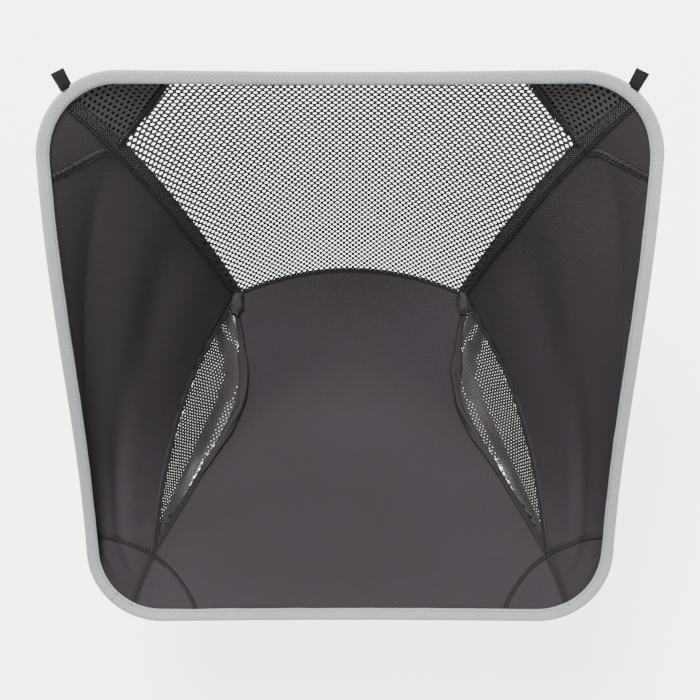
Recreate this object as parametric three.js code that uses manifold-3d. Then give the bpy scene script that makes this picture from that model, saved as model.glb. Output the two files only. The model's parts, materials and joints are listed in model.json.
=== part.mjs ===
// Compact folding camp chair: a bucket sling of cloth and mesh on a hubbed pole frame.
// Millimetres, +Z up, +Y to the back of the chair, origin on the floor under its middle.
import * as THREE from 'three';
import { mergeVertices } from 'three/addons/utils/BufferGeometryUtils.js';
import Module from 'manifold-3d';

const wasm = await Module();
wasm.setup();

// ---- driving dimensions ----
const SIDES = { left: -1, right: 1 };
const SLING = {
  halfWidth: 267,
  halfDepth: 256.7,
  cornerRadius: 72,
  frontHeight: 388,
  backHeight: 655,
  rimEase: 0.4,
  frontSag: 7,
  backSag: 9,
};
const CLOTH = 2.2;
const SEAM_GAP = 2.4;
const BINDING = { width: 12, thickness: 4.6, clearance: 11.5, steps: 72, corners: 6 };
const BACK_BORDER = { width: 11, panelWidth: 320 };
const PINCH = [126, 82, 320];
const CROSSING = [208, -192, 370];
const LOWER_SEAM = [[168, -120, 323], [118, -27, 296]];
const UPPER_SEAM = [[197, -104, 355], [171, -9, 345]];
const CORNER_SEAM = { frontShare: 0.044, sideShare: 0.0437 };
const BACK_SEAM_PULL = [184, 190, 560];
const ARC_SEAM_PULL = [0, 140, 274];
const SEAT_SAG = 22;
const BACK_HOLLOW = 10;
const SIDE_BULGE = 12;
const GUSSET_SLACK = 11;

const POLE = { radius: 6.25, bore: 4.9, sides: 14 };
const FIT = 0.35;
const HUB = {
  y: 3,
  z: 215,
  inner: { x: 106, disc: [97, 119] },
  outer: { x: 132, disc: [123, 145] },
  radius: 17,
  socketRadius: 9,
  socketStart: 12,
  socketEnd: 44,
};
const CROSSBAR = { radius: 7, bore: 4.4, end: 118.5 };
const BOLT = { radius: 4, innerEnd: 100, headRadius: 7.4, headThickness: 4 };
const WASHER = { radius: 10, thickness: 3.2 };
const FRONT_FOOT = [205, -178];
const REAR_FOOT = [246, 182];
const FOOT = { ball: 12, neck: 9.4, length: 30, centreHeight: 9.4 };
const FRONT_TIP = [227, -232, 374];
const REAR_BEND = [192, 165, 465];
const REAR_TIP = [241, 233.5, 627.5];
const TIP = { radius: 7.9, length: 26 };
const FERRULE = { radius: 4.55, bore: 2.6, halfLength: 26, along: 0.42 };
const CORD_RADIUS = 1.4;
const FRONT_POCKET = { alongFront: 155, alongSide: 168, depth: 40 };
const REAR_POCKET = { alongBack: 153, alongSide: 172, depth: 46 };
const POCKET_RANGE = { span: [0.1, 0.9], low: () => 0.13, high: () => 0 };
const TAB = { width: 12, length: 14.4, thickness: 2.4, start: [237.5, 246.6, 652], way: [0.43, 0.78, 0.46] };

const COLOURS = {
  cloth: 0x3b373b,
  mesh: 0x2c2a2c,
  binding: 0xc9ccd0,
  webbing: 0x161414,
  pole: 0x17181a,
  hub: 0x1d1e20,
  rubber: 0x121212,
  steel: 0x8d9094,
  cord: 0x2a2a2d,
};

const chair = new THREE.Group();
chair.name = 'folding_camp_chair';

// ---- helpers ----
function vec(point) {
  return new THREE.Vector3(point[0], point[1], point[2]);
}

function onSide(point, side) {
  return new THREE.Vector3(point[0] * side, point[1], point[2]);
}

function fraction(a, b, t) {
  return a + (b - a) * t;
}

function addPart(name, geometry, colour, roughness, metalness = 0) {
  const material = new THREE.MeshStandardMaterial({ color: colour, roughness, metalness });
  const mesh = new THREE.Mesh(geometry, material);
  mesh.name = name;
  chair.add(mesh);
  return mesh;
}

function toSolid(geometry) {
  const bare = geometry.clone();
  bare.deleteAttribute('normal');
  bare.deleteAttribute('uv');
  const merged = mergeVertices(bare, 1e-4);
  const vertProperties = new Float32Array(merged.attributes.position.array);
  const triVerts = new Uint32Array(merged.index.array);
  return new wasm.Manifold(new wasm.Mesh({ numProp: 3, vertProperties, triVerts }));
}

function toGeometry(solid) {
  const mesh = solid.getMesh();
  const geometry = new THREE.BufferGeometry();
  geometry.setAttribute('position', new THREE.BufferAttribute(mesh.vertProperties, 3));
  geometry.setIndex(new THREE.BufferAttribute(mesh.triVerts, 1));
  geometry.computeVertexNormals();
  return geometry;
}

// Turns a shape made along +Y so that it starts at `from` and runs along `direction`.
function alongLine(geometry, from, direction) {
  const turn = new THREE.Quaternion();
  turn.setFromUnitVectors(new THREE.Vector3(0, 1, 0), direction.clone().normalize());
  geometry.applyQuaternion(turn);
  geometry.translate(from.x, from.y, from.z);
  return geometry;
}

function rodBetween(from, to, radius, sides) {
  const length = from.distanceTo(to);
  const rod = new THREE.CylinderGeometry(radius, radius, length, sides);
  rod.translate(0, length / 2, 0);
  return alongLine(rod, from, to.clone().sub(from));
}

function tubeBetween(from, to, radius, bore, sides) {
  const length = from.distanceTo(to);
  const profile = [[bore, 0], [radius, 0], [radius, length], [bore, length], [bore, 0]];
  const points = profile.map(([r, y]) => new THREE.Vector2(r, y));
  return alongLine(new THREE.LatheGeometry(points, sides), from, to.clone().sub(from));
}

function ringShape(radius, bore, sides) {
  const shape = new THREE.Shape();
  shape.absellipse(0, 0, radius, radius, 0, Math.PI * 2, false, 0);
  if (bore > 0) {
    const hole = new THREE.Path();
    hole.absellipse(0, 0, bore, bore, 0, Math.PI * 2, true, 0);
    shape.holes.push(hole);
  }
  return { shape, curveSegments: sides };
}

function tubeAlong(curve, radius, bore, sides, steps) {
  const { shape, curveSegments } = ringShape(radius, bore, sides);
  return new THREE.ExtrudeGeometry(shape, { steps, curveSegments, extrudePath: curve });
}

// ---- the sling's rim and seams ----
function rimHeight(y) {
  const t = (y + SLING.halfDepth) / (2 * SLING.halfDepth);
  const eased = t - (SLING.rimEase * Math.sin(2 * Math.PI * t)) / (2 * Math.PI);
  return fraction(SLING.frontHeight, SLING.backHeight, eased);
}

// A rounded edge between the middles of two corners: [place along it, distance out].
function edgePlan(t, halfAlong, halfAcross) {
  const straight = halfAlong - SLING.cornerRadius;
  const half = straight + (SLING.cornerRadius * Math.PI) / 4;
  const reach = Math.abs(2 * t - 1) * half;
  const sign = Math.sign(2 * t - 1);
  if (reach <= straight) {
    return [sign * reach, halfAcross];
  }
  const angle = (reach - straight) / SLING.cornerRadius;
  const along = straight + SLING.cornerRadius * Math.sin(angle);
  const across = halfAcross - SLING.cornerRadius * (1 - Math.cos(angle));
  return [sign * along, across];
}

function endRim(t, end) {
  const [x, out] = edgePlan(t, SLING.halfWidth, SLING.halfDepth);
  const sag = end < 0 ? SLING.frontSag : SLING.backSag;
  const dip = sag * Math.cos((Math.PI * x) / (2 * SLING.halfWidth)) ** 2;
  return new THREE.Vector3(x, end * out, rimHeight(end * out) - dip);
}

function sideRim(t, side) {
  const [y, out] = edgePlan(t, SLING.halfDepth, SLING.halfWidth);
  return new THREE.Vector3(side * out, y, rimHeight(y));
}

// The front edge between the two corner seams, and the side edge that takes up the rest.
function frontEdge(u) {
  return endRim(fraction(CORNER_SEAM.frontShare, 1 - CORNER_SEAM.frontShare, u), -1);
}

function sideEdge(u, side) {
  const lead = CORNER_SEAM.sideShare;
  if (u >= lead) {
    return sideRim((u - lead) / (1 - lead), side);
  }
  const t = CORNER_SEAM.frontShare * (1 - u / lead);
  return endRim(side < 0 ? t : 1 - t, -1);
}

function lowerSeam(side) {
  const start = sideEdge(0, side);
  const inner = [CROSSING, ...LOWER_SEAM, PINCH].map((p) => onSide(p, side));
  return new THREE.CatmullRomCurve3([start, ...inner], false, 'centripetal');
}

function upperSeam(side) {
  const points = [CROSSING, ...UPPER_SEAM, PINCH].map((p) => onSide(p, side));
  return new THREE.CatmullRomCurve3(points, false, 'centripetal');
}

function backSeam(side) {
  const low = onSide(PINCH, side);
  const pull = onSide(BACK_SEAM_PULL, side);
  return new THREE.QuadraticBezierCurve3(low, pull, sideRim(1, side));
}

function arcSeam() {
  const [left, right] = [onSide(PINCH, -1), onSide(PINCH, 1)];
  return new THREE.QuadraticBezierCurve3(left, vec(ARC_SEAM_PULL), right);
}

// ---- cloth surfaces ----
// A patch that meets all four of its edges; `low` and `high` run with u, the others with v.
function coons(low, high, start, end) {
  return (u, v) => {
    const point = low(u).multiplyScalar(1 - v);
    point.addScaledVector(high(u), v);
    point.addScaledVector(start(v), 1 - u);
    point.addScaledVector(end(v), u);
    point.addScaledVector(low(0), -(1 - u) * (1 - v));
    point.addScaledVector(low(1), -u * (1 - v));
    point.addScaledVector(high(0), -(1 - u) * v);
    point.addScaledVector(high(1), -u * v);
    return point;
  };
}

function swell(u, v) {
  return Math.sin(Math.PI * u) * Math.sin(Math.PI * v);
}

function seatSurface() {
  const [left, right, arc] = [lowerSeam(-1), lowerSeam(1), arcSeam()];
  const flat = coons(
    frontEdge,
    (u) => arc.getPoint(u),
    (v) => left.getPoint(v),
    (v) => right.getPoint(v),
  );
  return (u, v) => flat(u, v).add(new THREE.Vector3(0, 0, -SEAT_SAG * swell(u, v)));
}

function backSurface() {
  const [left, right, arc] = [backSeam(-1), backSeam(1), arcSeam()];
  const flat = coons(
    (u) => arc.getPoint(u),
    (u) => endRim(u, 1),
    (v) => left.getPoint(v),
    (v) => right.getPoint(v),
  );
  return (u, v) => flat(u, v).add(new THREE.Vector3(0, BACK_HOLLOW * swell(u, v), 0));
}

// u runs from the front corner to the back corner, v from the seams up to the rim.
function sideSurface(side) {
  const [lower, upper, back] = [lowerSeam(side), upperSeam(side), backSeam(side)];
  const flat = coons(
    (u) => upper.getPoint(u),
    (u) => sideEdge(u, side),
    (v) => lower.getPoint(0.25 * (1 - v)),
    (v) => back.getPoint(v),
  );
  return (u, v) => {
    const out = SIDE_BULGE * swell(u, v);
    return flat(u, v).add(new THREE.Vector3(side * out, 0, -out));
  };
}

// A leaf-shaped piece between two edges that meet at both ends.
function leafSurface(edgeA, edgeB, slack) {
  return (u, v) => {
    const point = edgeA(u).lerp(edgeB(u), v);
    return point.add(slack(u, v));
  };
}

function gussetSurface(side) {
  const [lower, upper] = [lowerSeam(side), upperSeam(side)];
  return leafSurface(
    (u) => lower.getPoint(fraction(0.25, 1, u)),
    (u) => upper.getPoint(u),
    (u, v) => new THREE.Vector3(0, 0, -GUSSET_SLACK * swell(u, v)),
  );
}

// The corner of the sling as a leaf: v runs from the rim to the pocket's open edge.
function pocketSurface(side, end, pocket, corner, away) {
  const rimPoint = (u) => {
    const endShare = 1 - Math.min(2 * u, 1);
    const sideShare = Math.max(2 * u - 1, 0);
    if (u < 0.5) {
      return endRim(0.5 + (side / 2) * fraction(1, pocket.endShare, endShare), end);
    }
    return sideRim(0.5 + (end / 2) * fraction(1, pocket.sideShare, sideShare), side);
  };
  const first = rimPoint(0);
  const last = rimPoint(1);
  const openEdge = new THREE.QuadraticBezierCurve3(
    first,
    corner.clone().multiplyScalar(2).sub(first.clone().add(last).multiplyScalar(0.5)),
    last,
  );
  return leafSurface(
    rimPoint,
    (u) => openEdge.getPoint(u),
    (u, v) => {
      const depth = Math.sin(Math.PI * u) ** 0.6 * Math.sin((Math.PI * v) / 2) ** 0.5;
      return away.clone().multiplyScalar(pocket.depth * depth);
    },
  );
}

// ---- closed solids from surfaces ----
function surfaceNormal(surface, u, v) {
  const step = 1e-3;
  const du = surface(u + step, v).sub(surface(u - step, v));
  const dv = surface(u, v + step).sub(surface(u, v - step));
  return du.cross(dv).normalize();
}

// The share of v that `distance` takes up on a surface, at any u.
function shareOf(surface, distance) {
  return (u) => distance / surface(u, 0).distanceTo(surface(u, 1));
}

// A shell of even thickness over part of a surface, from `low` to 1 - `high` along v.
function shell(surface, { span, low, high }, countU, countV, flip = false) {
  const [u0, u1] = span;
  const row = countV + 1;
  const layer = (countU + 1) * row;
  const positions = [];
  for (const half of [CLOTH / 2, -CLOTH / 2]) {
    for (let i = 0; i <= countU; i += 1) {
      for (let j = 0; j <= countV; j += 1) {
        const u = fraction(u0, u1, i / countU);
        const v = fraction(low(u), 1 - high(u), j / countV);
        const point = surface(u, v);
        point.addScaledVector(surfaceNormal(surface, u, v), flip ? -half : half);
        positions.push(point.x, point.y, point.z);
      }
    }
  }
  const faces = shellFaces(countU, countV, row, layer);
  const ordered = flip ? faces.map(([a, b, c]) => [a, c, b]) : faces;
  const geometry = new THREE.BufferGeometry();
  geometry.setAttribute('position', new THREE.Float32BufferAttribute(positions, 3));
  geometry.setIndex(ordered.flat());
  geometry.computeVertexNormals();
  return geometry;
}

function shellFaces(countU, countV, row, layer) {
  const faces = [];
  const quad = (a, b, c, d) => faces.push([a, b, c], [a, c, d]);
  for (let i = 0; i < countU; i += 1) {
    for (let j = 0; j < countV; j += 1) {
      const a = i * row + j;
      quad(a, a + row, a + row + 1, a + 1);
      quad(layer + a, layer + a + 1, layer + a + row + 1, layer + a + row);
    }
  }
  for (let i = 0; i < countU; i += 1) {
    const low = i * row;
    const high = low + countV;
    quad(low, layer + low, layer + low + row, low + row);
    quad(high, high + row, layer + high + row, layer + high);
  }
  for (let j = 0; j < countV; j += 1) {
    const far = countU * row + j;
    quad(j, j + 1, layer + j + 1, layer + j);
    quad(far, layer + far, layer + far + 1, far + 1);
  }
  return faces;
}

// ---- sling pieces ----
function addSeatAndBack() {
  const seat = seatSurface();
  const inset = SEAM_GAP / (2 * PINCH[0]);
  const seatRange = {
    span: [inset, 1 - inset],
    low: shareOf(seat, BINDING.clearance),
    high: shareOf(seat, SEAM_GAP),
  };
  addPart('seat_panel', shell(seat, seatRange, 12, 12), COLOURS.cloth, 0.85);

  const back = backSurface();
  const edges = { low: shareOf(back, SEAM_GAP), high: shareOf(back, BINDING.clearance) };
  const start = SEAM_GAP / BACK_BORDER.panelWidth;
  const end = (SEAM_GAP + BACK_BORDER.width) / BACK_BORDER.panelWidth;
  const middle = end + FIT / BACK_BORDER.panelWidth;
  const meshRange = { span: [middle, 1 - middle], ...edges };
  addPart('back_mesh', shell(back, meshRange, 10, 8), COLOURS.mesh, 0.9);
  const leftBorder = shell(back, { span: [start, end], ...edges }, 2, 8);
  const rightBorder = shell(back, { span: [1 - end, 1 - start], ...edges }, 2, 8);
  addPart('back_border_left', leftBorder, COLOURS.mesh, 0.9);
  addPart('back_border_right', rightBorder, COLOURS.mesh, 0.9);
}

function addSidePanel(name, side) {
  const surface = sideSurface(side);
  const range = {
    span: [0.008, 0.992],
    low: shareOf(surface, SEAM_GAP),
    high: shareOf(surface, BINDING.clearance),
  };
  const panel = shell(surface, range, 12, 5, side > 0);
  addPart(`side_panel_${name}`, panel, COLOURS.cloth, 0.85);
}

function addGusset(name, side) {
  const range = { span: [0.07, 0.93], low: () => 0.1, high: () => 0.1 };
  const gusset = shell(gussetSurface(side), range, 8, 3, side > 0);
  addPart(`gusset_mesh_${name}`, gusset, COLOURS.mesh, 0.9);
}

function addPockets(name, side) {
  const frontAway = new THREE.Vector3(side * 0.1, -0.1, -1);
  const front = pocketSurface(
    side,
    -1,
    {
      depth: FRONT_POCKET.depth,
      endShare: FRONT_POCKET.alongFront / SLING.halfWidth,
      sideShare: FRONT_POCKET.alongSide / SLING.halfDepth,
    },
    onSide(CROSSING, side),
    frontAway,
  );
  const frontShell = shell(front, POCKET_RANGE, 8, 4, side < 0);
  addPart(`front_pocket_${name}`, frontShell, COLOURS.cloth, 0.85);

  const rearAway = new THREE.Vector3(side * 0.42, 0.4, -0.82);
  const rear = pocketSurface(
    side,
    1,
    {
      depth: REAR_POCKET.depth,
      endShare: REAR_POCKET.alongBack / SLING.halfWidth,
      sideShare: REAR_POCKET.alongSide / SLING.halfDepth,
    },
    backSeam(side).getPoint(0.72),
    rearAway,
  );
  const rearShell = shell(rear, POCKET_RANGE, 8, 4, side > 0);
  addPart(`rear_pocket_${name}`, rearShell, COLOURS.mesh, 0.9);
}

function rimCurvePoint(t) {
  const quarter = Math.floor(t * 4) % 4;
  const local = t * 4 - Math.floor(t * 4);
  if (quarter === 0) {
    return endRim(local, -1);
  }
  if (quarter === 1) {
    return sideRim(local, 1);
  }
  if (quarter === 2) {
    return endRim(1 - local, 1);
  }
  return sideRim(1 - local, -1);
}

// The way from the rim into the sling, which the binding's flat section follows.
function intoSling(point) {
  const target = new THREE.Vector3(point.x * 0.62, point.y * 0.62, point.z - 75);
  return target.sub(point).normalize();
}

function addBinding() {
  const { steps, corners } = BINDING;
  const positions = [];
  for (let i = 0; i < steps; i += 1) {
    const t = i / steps;
    const point = rimCurvePoint(t);
    const ahead = rimCurvePoint((t + 0.002) % 1).sub(rimCurvePoint((t + 0.998) % 1)).normalize();
    const inward = intoSling(point);
    inward.addScaledVector(ahead, -inward.dot(ahead)).normalize();
    const across = ahead.clone().cross(inward);
    point.addScaledVector(inward, 1.5);
    for (let j = 0; j < corners; j += 1) {
      const angle = (2 * Math.PI * (j + 0.5)) / corners;
      const wide = (BINDING.width / 2 - 1.2) * Math.cos(angle);
      const thick = (BINDING.thickness / 2) * Math.sin(angle);
      const spot = point.clone().addScaledVector(inward, wide).addScaledVector(across, thick);
      positions.push(spot.x, spot.y, spot.z);
    }
  }
  const faces = [];
  for (let i = 0; i < steps; i += 1) {
    for (let j = 0; j < corners; j += 1) {
      const a = i * corners + j;
      const b = i * corners + ((j + 1) % corners);
      const c = ((i + 1) % steps) * corners + ((j + 1) % corners);
      const d = ((i + 1) % steps) * corners + j;
      faces.push(a, b, c, a, c, d);
    }
  }
  const geometry = new THREE.BufferGeometry();
  geometry.setAttribute('position', new THREE.Float32BufferAttribute(positions, 3));
  geometry.setIndex(faces);
  geometry.computeVertexNormals();
  addPart('edge_binding', geometry, COLOURS.binding, 0.8);
}

function addPullTab(name, side) {
  const tab = new THREE.BoxGeometry(TAB.width, TAB.length, TAB.thickness);
  tab.translate(0, TAB.length / 2, 0);
  const placed = alongLine(tab, onSide(TAB.start, side), onSide(TAB.way, side));
  addPart(`pull_tab_${name}`, placed, COLOURS.webbing, 0.9);
}

// ---- frame pieces ----
function hubCentre(side, x) {
  return new THREE.Vector3(side * x, HUB.y, HUB.z);
}

function pointAlong(from, towards, distance) {
  const direction = towards.clone().sub(from).normalize();
  return from.clone().addScaledVector(direction, distance);
}

function addHubHalf(name, side, half, targets, axleRadius) {
  const centre = hubCentre(side, half.x);
  const [near, far] = half.disc.map((x) => hubCentre(side, x));
  let solid = toSolid(rodBetween(near, far, HUB.radius, 24));
  for (const target of targets) {
    const tip = pointAlong(centre, target, HUB.socketEnd);
    solid = solid.add(toSolid(rodBetween(centre, tip, HUB.socketRadius, POLE.sides)));
  }
  for (const target of targets) {
    const floor = pointAlong(centre, target, HUB.socketStart);
    const beyond = pointAlong(centre, target, HUB.socketEnd + 2);
    solid = solid.subtract(toSolid(rodBetween(floor, beyond, POLE.radius + FIT, POLE.sides)));
  }
  const axleStart = pointAlong(near, far, -2);
  const axleEnd = pointAlong(far, near, -2);
  const axle = rodBetween(axleStart, axleEnd, axleRadius + FIT, POLE.sides);
  addPart(name, toGeometry(solid.subtract(toSolid(axle))), COLOURS.hub, 0.5);
}

function footBall(side, foot) {
  return new THREE.Vector3(side * foot[0], foot[1], FOOT.centreHeight);
}

function addHub(name, side) {
  const frontFoot = footBall(side, FRONT_FOOT);
  const rearFoot = footBall(side, REAR_FOOT);
  const inner = [onSide(REAR_BEND, side), frontFoot];
  const outer = [onSide(FRONT_TIP, side), rearFoot];
  addHubHalf(`hub_inner_${name}`, side, HUB.inner, inner, CROSSBAR.radius);
  addHubHalf(`hub_outer_${name}`, side, HUB.outer, outer, BOLT.radius);
  addWasher(name, side);
  addPivotBolt(name, side);
}

function addWasher(name, side) {
  const middle = (HUB.inner.disc[1] + HUB.outer.disc[0]) / 2;
  const start = hubCentre(side, middle - WASHER.thickness / 2);
  const end = hubCentre(side, middle + WASHER.thickness / 2);
  const ring = tubeBetween(start, end, WASHER.radius, BOLT.radius + FIT, 20);
  addPart(`hub_washer_${name}`, ring, COLOURS.steel, 0.4, 0.8);
}

function addPivotBolt(name, side) {
  const headStart = HUB.outer.disc[1] + FIT;
  const length = headStart + BOLT.headThickness - BOLT.innerEnd;
  const shank = headStart - BOLT.innerEnd;
  const profile = [[0, 0], [BOLT.radius, 0], [BOLT.radius, shank], [BOLT.headRadius, shank]];
  profile.push([BOLT.headRadius, length - 1.2], [BOLT.headRadius - 1.2, length], [0, length]);
  const points = profile.map(([r, y]) => new THREE.Vector2(r, y));
  const direction = new THREE.Vector3(side, 0, 0);
  const bolt = alongLine(new THREE.LatheGeometry(points, 20), hubCentre(side, BOLT.innerEnd), direction);
  addPart(`pivot_bolt_${name}`, bolt, COLOURS.steel, 0.35, 0.9);
}

function addCrossbar() {
  const bar = tubeBetween(
    hubCentre(-1, CROSSBAR.end),
    hubCentre(1, CROSSBAR.end),
    CROSSBAR.radius,
    CROSSBAR.bore,
    POLE.sides,
  );
  addPart('crossbar', bar, COLOURS.pole, 0.35, 0.85);
}

function addLeg(kind, name, side, hubX, foot) {
  const centre = hubCentre(side, hubX);
  const ball = footBall(side, foot);
  const top = pointAlong(centre, ball, HUB.socketStart + FIT);
  const bottom = pointAlong(ball, centre, 4);
  const leg = tubeBetween(top, bottom, POLE.radius, POLE.bore, POLE.sides);
  addPart(`${kind}_leg_${name}`, leg, COLOURS.pole, 0.35, 0.85);
  const cordTop = pointAlong(centre, ball, HUB.socketStart + 2 * FIT);
  const cordEnd = pointAlong(ball, centre, 4 + FIT);
  const cord = rodBetween(cordTop, cordEnd, CORD_RADIUS, 8);
  addPart(`${kind}_leg_cord_${name}`, cord, COLOURS.cord, 0.9);
  addFoot(`${kind}_foot_${name}`, ball, centre);
}

function addFoot(name, ball, centre) {
  const neckTop = pointAlong(ball, centre, FOOT.length);
  let solid = toSolid(rodBetween(ball, neckTop, FOOT.neck, 16));
  const round = new THREE.SphereGeometry(FOOT.ball, 16, 8);
  round.translate(ball.x, ball.y, ball.z);
  solid = solid.add(toSolid(round));
  const floor = pointAlong(ball, centre, 4 - FIT);
  const above = pointAlong(ball, centre, FOOT.length + 2);
  solid = solid.subtract(toSolid(rodBetween(floor, above, POLE.radius + FIT, POLE.sides)));
  const ground = new THREE.BoxGeometry(60, 60, 20);
  ground.translate(ball.x, ball.y, -10);
  addPart(name, toGeometry(solid.subtract(toSolid(ground))), COLOURS.rubber, 0.95);
}

function addTip(name, end, from) {
  const base = pointAlong(end, from, TIP.length - TIP.radius);
  let solid = toSolid(rodBetween(base, end, TIP.radius, 12));
  const round = new THREE.SphereGeometry(TIP.radius, 12, 6);
  round.translate(end.x, end.y, end.z);
  solid = solid.add(toSolid(round));
  const floor = pointAlong(end, from, 1 - FIT);
  const below = pointAlong(end, from, TIP.length + 2);
  solid = solid.subtract(toSolid(rodBetween(floor, below, POLE.radius + FIT, POLE.sides)));
  addPart(name, toGeometry(solid), COLOURS.hub, 0.55);
}

function addFrontUpright(name, side) {
  const centre = hubCentre(side, HUB.outer.x);
  const tip = onSide(FRONT_TIP, side);
  const start = pointAlong(centre, tip, HUB.socketStart + FIT);
  const end = pointAlong(tip, centre, 1);
  const pole = tubeBetween(start, end, POLE.radius, POLE.bore, POLE.sides);
  addPart(`front_upright_${name}`, pole, COLOURS.pole, 0.35, 0.85);
  addTip(`front_tip_${name}`, tip, centre);
}

// The rear upright leaves its hub straight and is bent gently outwards above the joint.
function addRearUpright(name, side) {
  const centre = hubCentre(side, HUB.inner.x);
  const bend = onSide(REAR_BEND, side);
  const tip = onSide(REAR_TIP, side);
  const start = pointAlong(centre, bend, HUB.socketStart + FIT);
  const joint = centre.clone().lerp(bend, FERRULE.along + 0.2);
  const lower = tubeBetween(start, joint, POLE.radius, POLE.bore, POLE.sides);
  addPart(`rear_upright_lower_${name}`, lower, COLOURS.pole, 0.35, 0.85);

  const upperStart = pointAlong(joint, bend, FIT);
  const straightEnd = pointAlong(bend, joint, 50);
  const bendEnd = pointAlong(bend, tip, 50);
  const end = pointAlong(tip, bend, 1);
  const path = new THREE.CurvePath();
  path.add(new THREE.LineCurve3(upperStart, straightEnd));
  path.add(new THREE.QuadraticBezierCurve3(straightEnd, bend, bendEnd));
  path.add(new THREE.LineCurve3(bendEnd, end));
  const spaced = new THREE.CatmullRomCurve3(path.getSpacedPoints(8), false, 'centripetal');
  const upper = tubeAlong(spaced, POLE.radius, POLE.bore, POLE.sides / 2, 8);
  addPart(`rear_upright_upper_${name}`, upper, COLOURS.pole, 0.35, 0.85);
  addTip(`rear_tip_${name}`, tip, bend);

  const insertStart = pointAlong(joint, centre, FERRULE.halfLength);
  const insertEnd = pointAlong(joint, bend, FERRULE.halfLength);
  const insert = tubeBetween(insertStart, insertEnd, FERRULE.radius, FERRULE.bore, 12);
  addPart(`ferrule_${name}`, insert, COLOURS.steel, 0.35, 0.9);
  const cordStart = pointAlong(centre, bend, HUB.socketStart + 2 * FIT);
  const cordEnd = pointAlong(joint, bend, 2 * FERRULE.halfLength);
  const cord = rodBetween(cordStart, cordEnd, CORD_RADIUS, 8);
  addPart(`rear_upright_cord_${name}`, cord, COLOURS.cord, 0.9);
}

// ---- assembly ----
addCrossbar();
addSeatAndBack();
addBinding();
for (const [name, side] of Object.entries(SIDES)) {
  addHub(name, side);
  addLeg('front', name, side, HUB.inner.x, FRONT_FOOT);
  addLeg('rear', name, side, HUB.outer.x, REAR_FOOT);
  addFrontUpright(name, side);
  addRearUpright(name, side);
  addSidePanel(name, side);
  addGusset(name, side);
  addPockets(name, side);
  addPullTab(name, side);
}

export default chair;
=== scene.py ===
"""Folding camp chair: the looks of a bucket sling of cloth and net on a hubbed pole frame."""

import json
import math

import bmesh
import bpy
from bpy.props import FloatProperty, FloatVectorProperty, PointerProperty
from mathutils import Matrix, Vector, noise

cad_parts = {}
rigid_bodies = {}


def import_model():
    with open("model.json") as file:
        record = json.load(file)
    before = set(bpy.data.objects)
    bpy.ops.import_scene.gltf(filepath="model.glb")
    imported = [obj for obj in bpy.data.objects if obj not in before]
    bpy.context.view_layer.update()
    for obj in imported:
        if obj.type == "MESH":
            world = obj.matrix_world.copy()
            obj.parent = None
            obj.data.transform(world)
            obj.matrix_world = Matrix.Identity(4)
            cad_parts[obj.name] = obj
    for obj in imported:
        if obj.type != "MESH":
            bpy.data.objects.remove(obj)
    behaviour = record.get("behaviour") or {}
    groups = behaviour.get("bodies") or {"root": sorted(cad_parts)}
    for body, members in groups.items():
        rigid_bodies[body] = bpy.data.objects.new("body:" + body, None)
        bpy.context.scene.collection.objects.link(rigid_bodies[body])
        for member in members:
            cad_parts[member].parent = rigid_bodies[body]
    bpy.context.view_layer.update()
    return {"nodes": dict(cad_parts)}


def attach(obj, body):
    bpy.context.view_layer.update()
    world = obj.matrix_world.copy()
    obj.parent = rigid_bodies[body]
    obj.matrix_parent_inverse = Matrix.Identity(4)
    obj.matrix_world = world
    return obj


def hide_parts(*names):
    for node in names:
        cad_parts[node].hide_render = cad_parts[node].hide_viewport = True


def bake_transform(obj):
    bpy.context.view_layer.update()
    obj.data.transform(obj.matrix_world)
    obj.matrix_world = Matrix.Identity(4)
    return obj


bl_info = {
    "name": "Folding camp chair",
    "version": (1, 0, 0),
    "blender": (4, 5, 0),
    "location": "View3D > Sidebar > Chair",
    "description": "Builds a folding camp chair around its packed frame",
    "category": "Object",
}

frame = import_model()

MM = 0.001
SIDES = {"left": -1, "right": 1}

# ---- the sling, in millimetres; every point is on the right-hand side ----
HALF_WIDTH = 267
HALF_DEPTH = 256.7
CORNER_RADIUS = 72
FRONT_HEIGHT = 388
BACK_HEIGHT = 655
FRONT_SAG = 7
BACK_SAG = 9
# How much of the rim's rise is gathered into the middle of the side
RIM_EASE = 0.4
# The pinch is where seat, side, gusset and back meet; the crossing is the gusset's front end
PINCH = (126, 82, 320)
CROSSING = (208, -192, 370)
LOWER_SEAM = ((168, -120, 323), (118, -27, 296))
UPPER_SEAM = ((197, -104, 355), (171, -9, 345))
BACK_SEAM_PULL = (184, 190, 560)
ARC_SEAM_PULL = (0, 140, 274)
SEAT_SAG = 22
BACK_HOLLOW = 10
SIDE_BULGE = 12
GUSSET_SLACK = 11
# Share of the lower seam that lies between the corner and the gusset
CORNER_SHARE = 0.25
# Where the corner seam ends, as shares of the front edge and of the side edge
FRONT_SHARE = 0.044
SIDE_SHARE = 0.0437
# The fold under the line between two pole tips, and its reach as a share of the side panel
FOLD_DEPTH = 11.0
FOLD_REACH = 0.45
FRONT_POCKET = {"along_end": 155, "along_side": 168, "depth": 40}
REAR_POCKET = {"along_end": 153, "along_side": 172, "depth": 46}
# How far a pocket's rim hangs below the binding
POCKET_DROP = 4.0
# Share of the back seam at which a rear pocket's open edge crosses it
REAR_POCKET_SHARE = 0.72
# The way that each pocket bellies out
FRONT_POCKET_WAY = (0.1, -0.1, -1)
REAR_POCKET_WAY = (0.42, 0.4, -0.82)
# The gussets' net against the back's: its pitch, and how open its holes are
GUSSET_KNIT = 0.68
GUSSET_OPEN = 0.4
# How steeply the binding falls into the sling, at the front and at the back
BINDING_FALL = (0.16, 0.85)
BINDING_STEPS = 560
# Half of the binding's section: (share of its width in from the rim, share of its half height)
BINDING_SECTION = ((-0.16, 0.0), (-0.1, 0.75), (0.1, 1.0), (0.45, 0.95), (0.78, 0.85), (0.92, 0.6))
BINDING_HALF_HEIGHT = 1.55
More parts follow.
